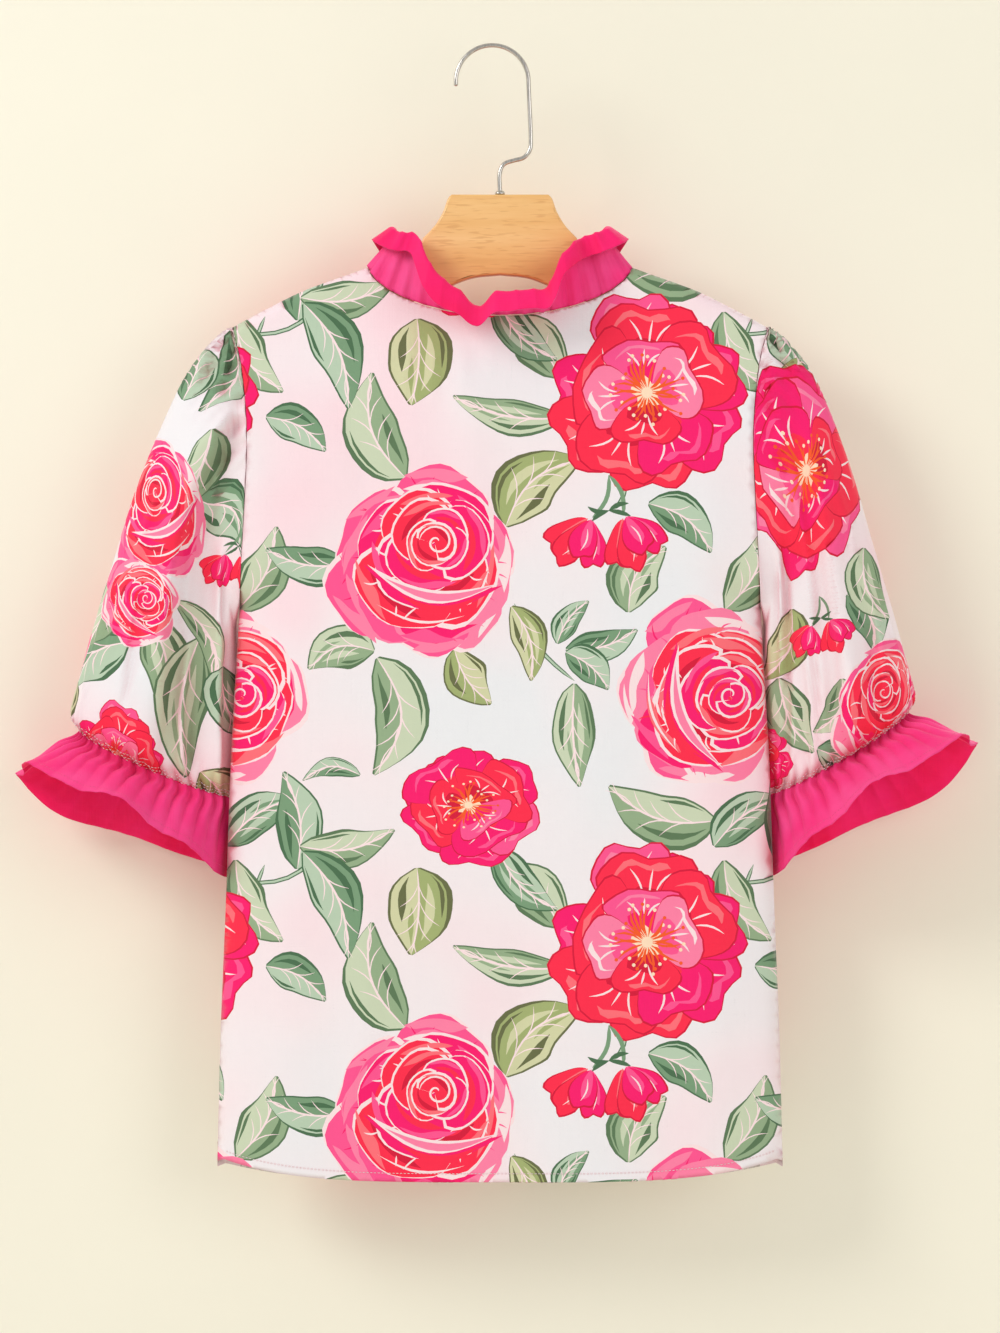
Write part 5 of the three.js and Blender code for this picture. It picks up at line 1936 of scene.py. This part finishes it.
def plain_finish(name, colour, roughness, see_through_back=False):
    """A plain painted surface with a faint mottle, which may be clear from behind."""
    nodes = Nodes(name)
    mottle = nodes.noise((3, 3, 3), 3.0)
    tone = nodes.ramp(mottle, (0.3, tuple(0.985 * c for c in colour)), (0.7, colour))
    nodes.set(Base_Color=tone, Roughness=roughness, Specular_IOR_Level=0.1)
    if see_through_back:
        clear = nodes.node("ShaderNodeBsdfTransparent").outputs[0]
        back = nodes.node("ShaderNodeNewGeometry").outputs["Backfacing"]
        both = nodes.node("ShaderNodeMixShader")
        nodes.put(both.inputs[0], back)
        nodes.put(both.inputs[1], nodes.shader.outputs[0])
        nodes.put(both.inputs[2], clear)
        out = next(node for node in nodes.tree.nodes if node.type == "OUTPUT_MATERIAL")
        nodes.put(out.inputs["Surface"], both.outputs[0])
    return nodes.material


def make_stage():
    """The pale floor and wall, with colours shown as they are."""
    bpy.context.scene.view_settings.view_transform = "Standard"
    floor = mesh_object(
        "floor",
        [(-6000, -6000, FLOOR_Z), (6000, -6000, FLOOR_Z), (6000, 6000, FLOOR_Z), (-6000, 6000, FLOOR_Z)],
        [(0, 1, 2, 3)],
        [plain_finish("pale_floor", (240, 236, 226), 0.85)],
    )
    wall = mesh_object(
        "wall",
        [(-2600, WALL_Y, FLOOR_Z), (2600, WALL_Y, FLOOR_Z), (2600, WALL_Y, 900), (-2600, WALL_Y, 900)],
        [(0, 1, 2, 3)],
        [plain_finish("cream_wall", (250, 247, 231), 0.9, True)],
    )
    wall.visible_shadow = False


def make_lights():
    """A large soft key from the upper left, a fill from the right, and even light all round."""
    world = bpy.data.worlds.new("soft_studio")
    world.use_nodes = True
    world.node_tree.nodes["Background"].inputs["Color"].default_value = (1.0, 0.99, 0.975, 1)
    world.node_tree.nodes["Background"].inputs["Strength"].default_value = 0.58
    bpy.context.scene.world = world
    lights = (
        {"name": "key", "place": (-2200, -1750, 1150), "size": 1300, "power": 40},
        {"name": "fill", "place": (1900, -2300, 100), "size": 1900, "power": 17},
        {"name": "back_fill", "place": (600, 2600, 700), "size": 2000, "power": 22},
    )
    target = Vector((STEM_X, 0, PHOTO_CENTRE[1])) * MM
    for row in lights:
        data = bpy.data.lights.new(row["name"], "AREA")
        data.shape = "DISK"
        data.size = row["size"] * MM
        data.energy = row["power"]
        data.color = (1.0, 0.985, 0.965)
        obj = bpy.data.objects.new(row["name"], data)
        obj.location = Vector(row["place"]) * MM
        obj.rotation_euler = (target - obj.location).to_track_quat("-Z", "Y").to_euler()
        bpy.context.scene.collection.objects.link(obj)


def make_camera():
    """Straight at the back of the blouse, with the photograph's frame."""
    data = bpy.data.cameras.new("photo_view")
    data.sensor_fit = "VERTICAL"
    data.sensor_height = 24
    frame_height = PHOTO_SIZE[1] * PHOTO_SCALE
    data.lens = data.sensor_height * CAMERA_AWAY / frame_height
    data.clip_end = 50
    obj = bpy.data.objects.new("photo_view", data)
    obj.location = Vector((PHOTO_CENTRE[0], -CAMERA_AWAY - BACK_DEPTH, PHOTO_CENTRE[1])) * MM
    obj.rotation_euler = (math.pi / 2, 0, 0)
    bpy.context.scene.collection.objects.link(obj)
    bpy.context.scene.camera = obj


# Add-on


class BlouseSettings(bpy.types.PropertyGroup):
    """Sizes that drive the blouse's fine form."""

    cloth_thickness: bpy.props.FloatProperty(
        name="Cloth thickness",
        description="Thickness of the thin shells, in millimetres",
        default=0.5,
        min=0.1,
        max=2,
    )
    cloth_grid: bpy.props.FloatProperty(
        name="Cloth grid",
        description="Spacing of the body panels' points, in millimetres",
        default=5.4,
        min=2,
        max=12,
    )
    gather_depth: bpy.props.FloatProperty(
        name="Gather depth",
        description="Half height of the gathers beside their seam, in millimetres",
        default=1.0,
    )
    stitch_pitch: bpy.props.FloatProperty(
        name="Stitch pitch",
        description="Distance from one stitch to the next",
        default=0.0026,
        unit="LENGTH",
        subtype="DISTANCE",
    )
    stitch_width: bpy.props.FloatProperty(
        name="Stitch width",
        description="Thickness of the sewing thread",
        default=0.0005,
        unit="LENGTH",
        subtype="DISTANCE",
    )


class BLOUSE_OT_stage(bpy.types.Operator):
    """Makes the camera, the lights, the pale floor and the plain wall"""

    bl_idname = "blouse.stage"
    bl_label = "Stage and camera"

    def execute(self, context):
        make_camera()
        make_lights()
        make_stage()
        return {"FINISHED"}


class BLOUSE_OT_hanger(bpy.types.Operator):
    """Makes the wooden body, its hook and the hook's collar nut"""

    bl_idname = "blouse.hanger"
    bl_label = "Hanger"

    def execute(self, context):
        make_hanger_wood()
        make_hook()
        make_nut()
        return {"FINISHED"}


class BLOUSE_OT_body(bpy.types.Operator):
    """Makes the back and front of the body in printed cloth"""

    bl_idname = "blouse.body"
    bl_label = "Body panels"

    def execute(self, context):
        settings = context.scene.blouse
        make_panel(BACK, "back_body", "back_panel", settings, (0, 0))
        make_panel(FRONT, "front_body", "front_panel", settings, FRONT_SHIFT)
        return {"FINISHED"}


class BLOUSE_OT_sleeves(bpy.types.Operator):
    """Makes both gathered sleeves in printed cloth"""

    bl_idname = "blouse.sleeves"
    bl_label = "Sleeves"

    def execute(self, context):
        settings = context.scene.blouse
        left, right = SLEEVES
        make_sleeve(left, settings, LEFT_FLOWERS, LEFT_LEAVES)
        make_sleeve(right, settings, RIGHT_FLOWERS, RIGHT_LEAVES)
        return {"FINISHED"}


class BLOUSE_OT_frills(bpy.types.Operator):
    """Makes the gathered pink frills of the cuffs and the neck"""

    bl_idname = "blouse.frills"
    bl_label = "Frills"

    def execute(self, context):
        settings = context.scene.blouse
        for sleeve in SLEEVES:
            make_cuff_frill(sleeve, settings)
        make_collar_frill(settings)
        return {"FINISHED"}


class BLOUSE_PT_panel(bpy.types.Panel):
    """Lists the blouse's pieces and sizes"""

    bl_label = "Blouse"
    bl_idname = "BLOUSE_PT_panel"
    bl_space_type = "VIEW_3D"
    bl_region_type = "UI"
    bl_category = "Blouse"

    def draw(self, context):
        column = self.layout.column()
        for name in BlouseSettings.__annotations__:
            column.prop(context.scene.blouse, name)
        for operator in OPERATORS:
            column.operator(operator.bl_idname)


OPERATORS = (BLOUSE_OT_stage, BLOUSE_OT_hanger, BLOUSE_OT_body, BLOUSE_OT_sleeves, BLOUSE_OT_frills)
CLASSES = (BlouseSettings, *OPERATORS, BLOUSE_PT_panel)


def register():
    for cls in CLASSES:
        bpy.utils.register_class(cls)
    bpy.types.Scene.blouse = bpy.props.PointerProperty(type=BlouseSettings)


def unregister():
    del bpy.types.Scene.blouse
    for cls in reversed(CLASSES):
        bpy.utils.unregister_class(cls)


def main():
    register()
    bpy.ops.blouse.stage()
    bpy.ops.blouse.hanger()
    bpy.ops.blouse.body()
    bpy.ops.blouse.sleeves()
    bpy.ops.blouse.frills()


if __name__ == "__main__":
    main()
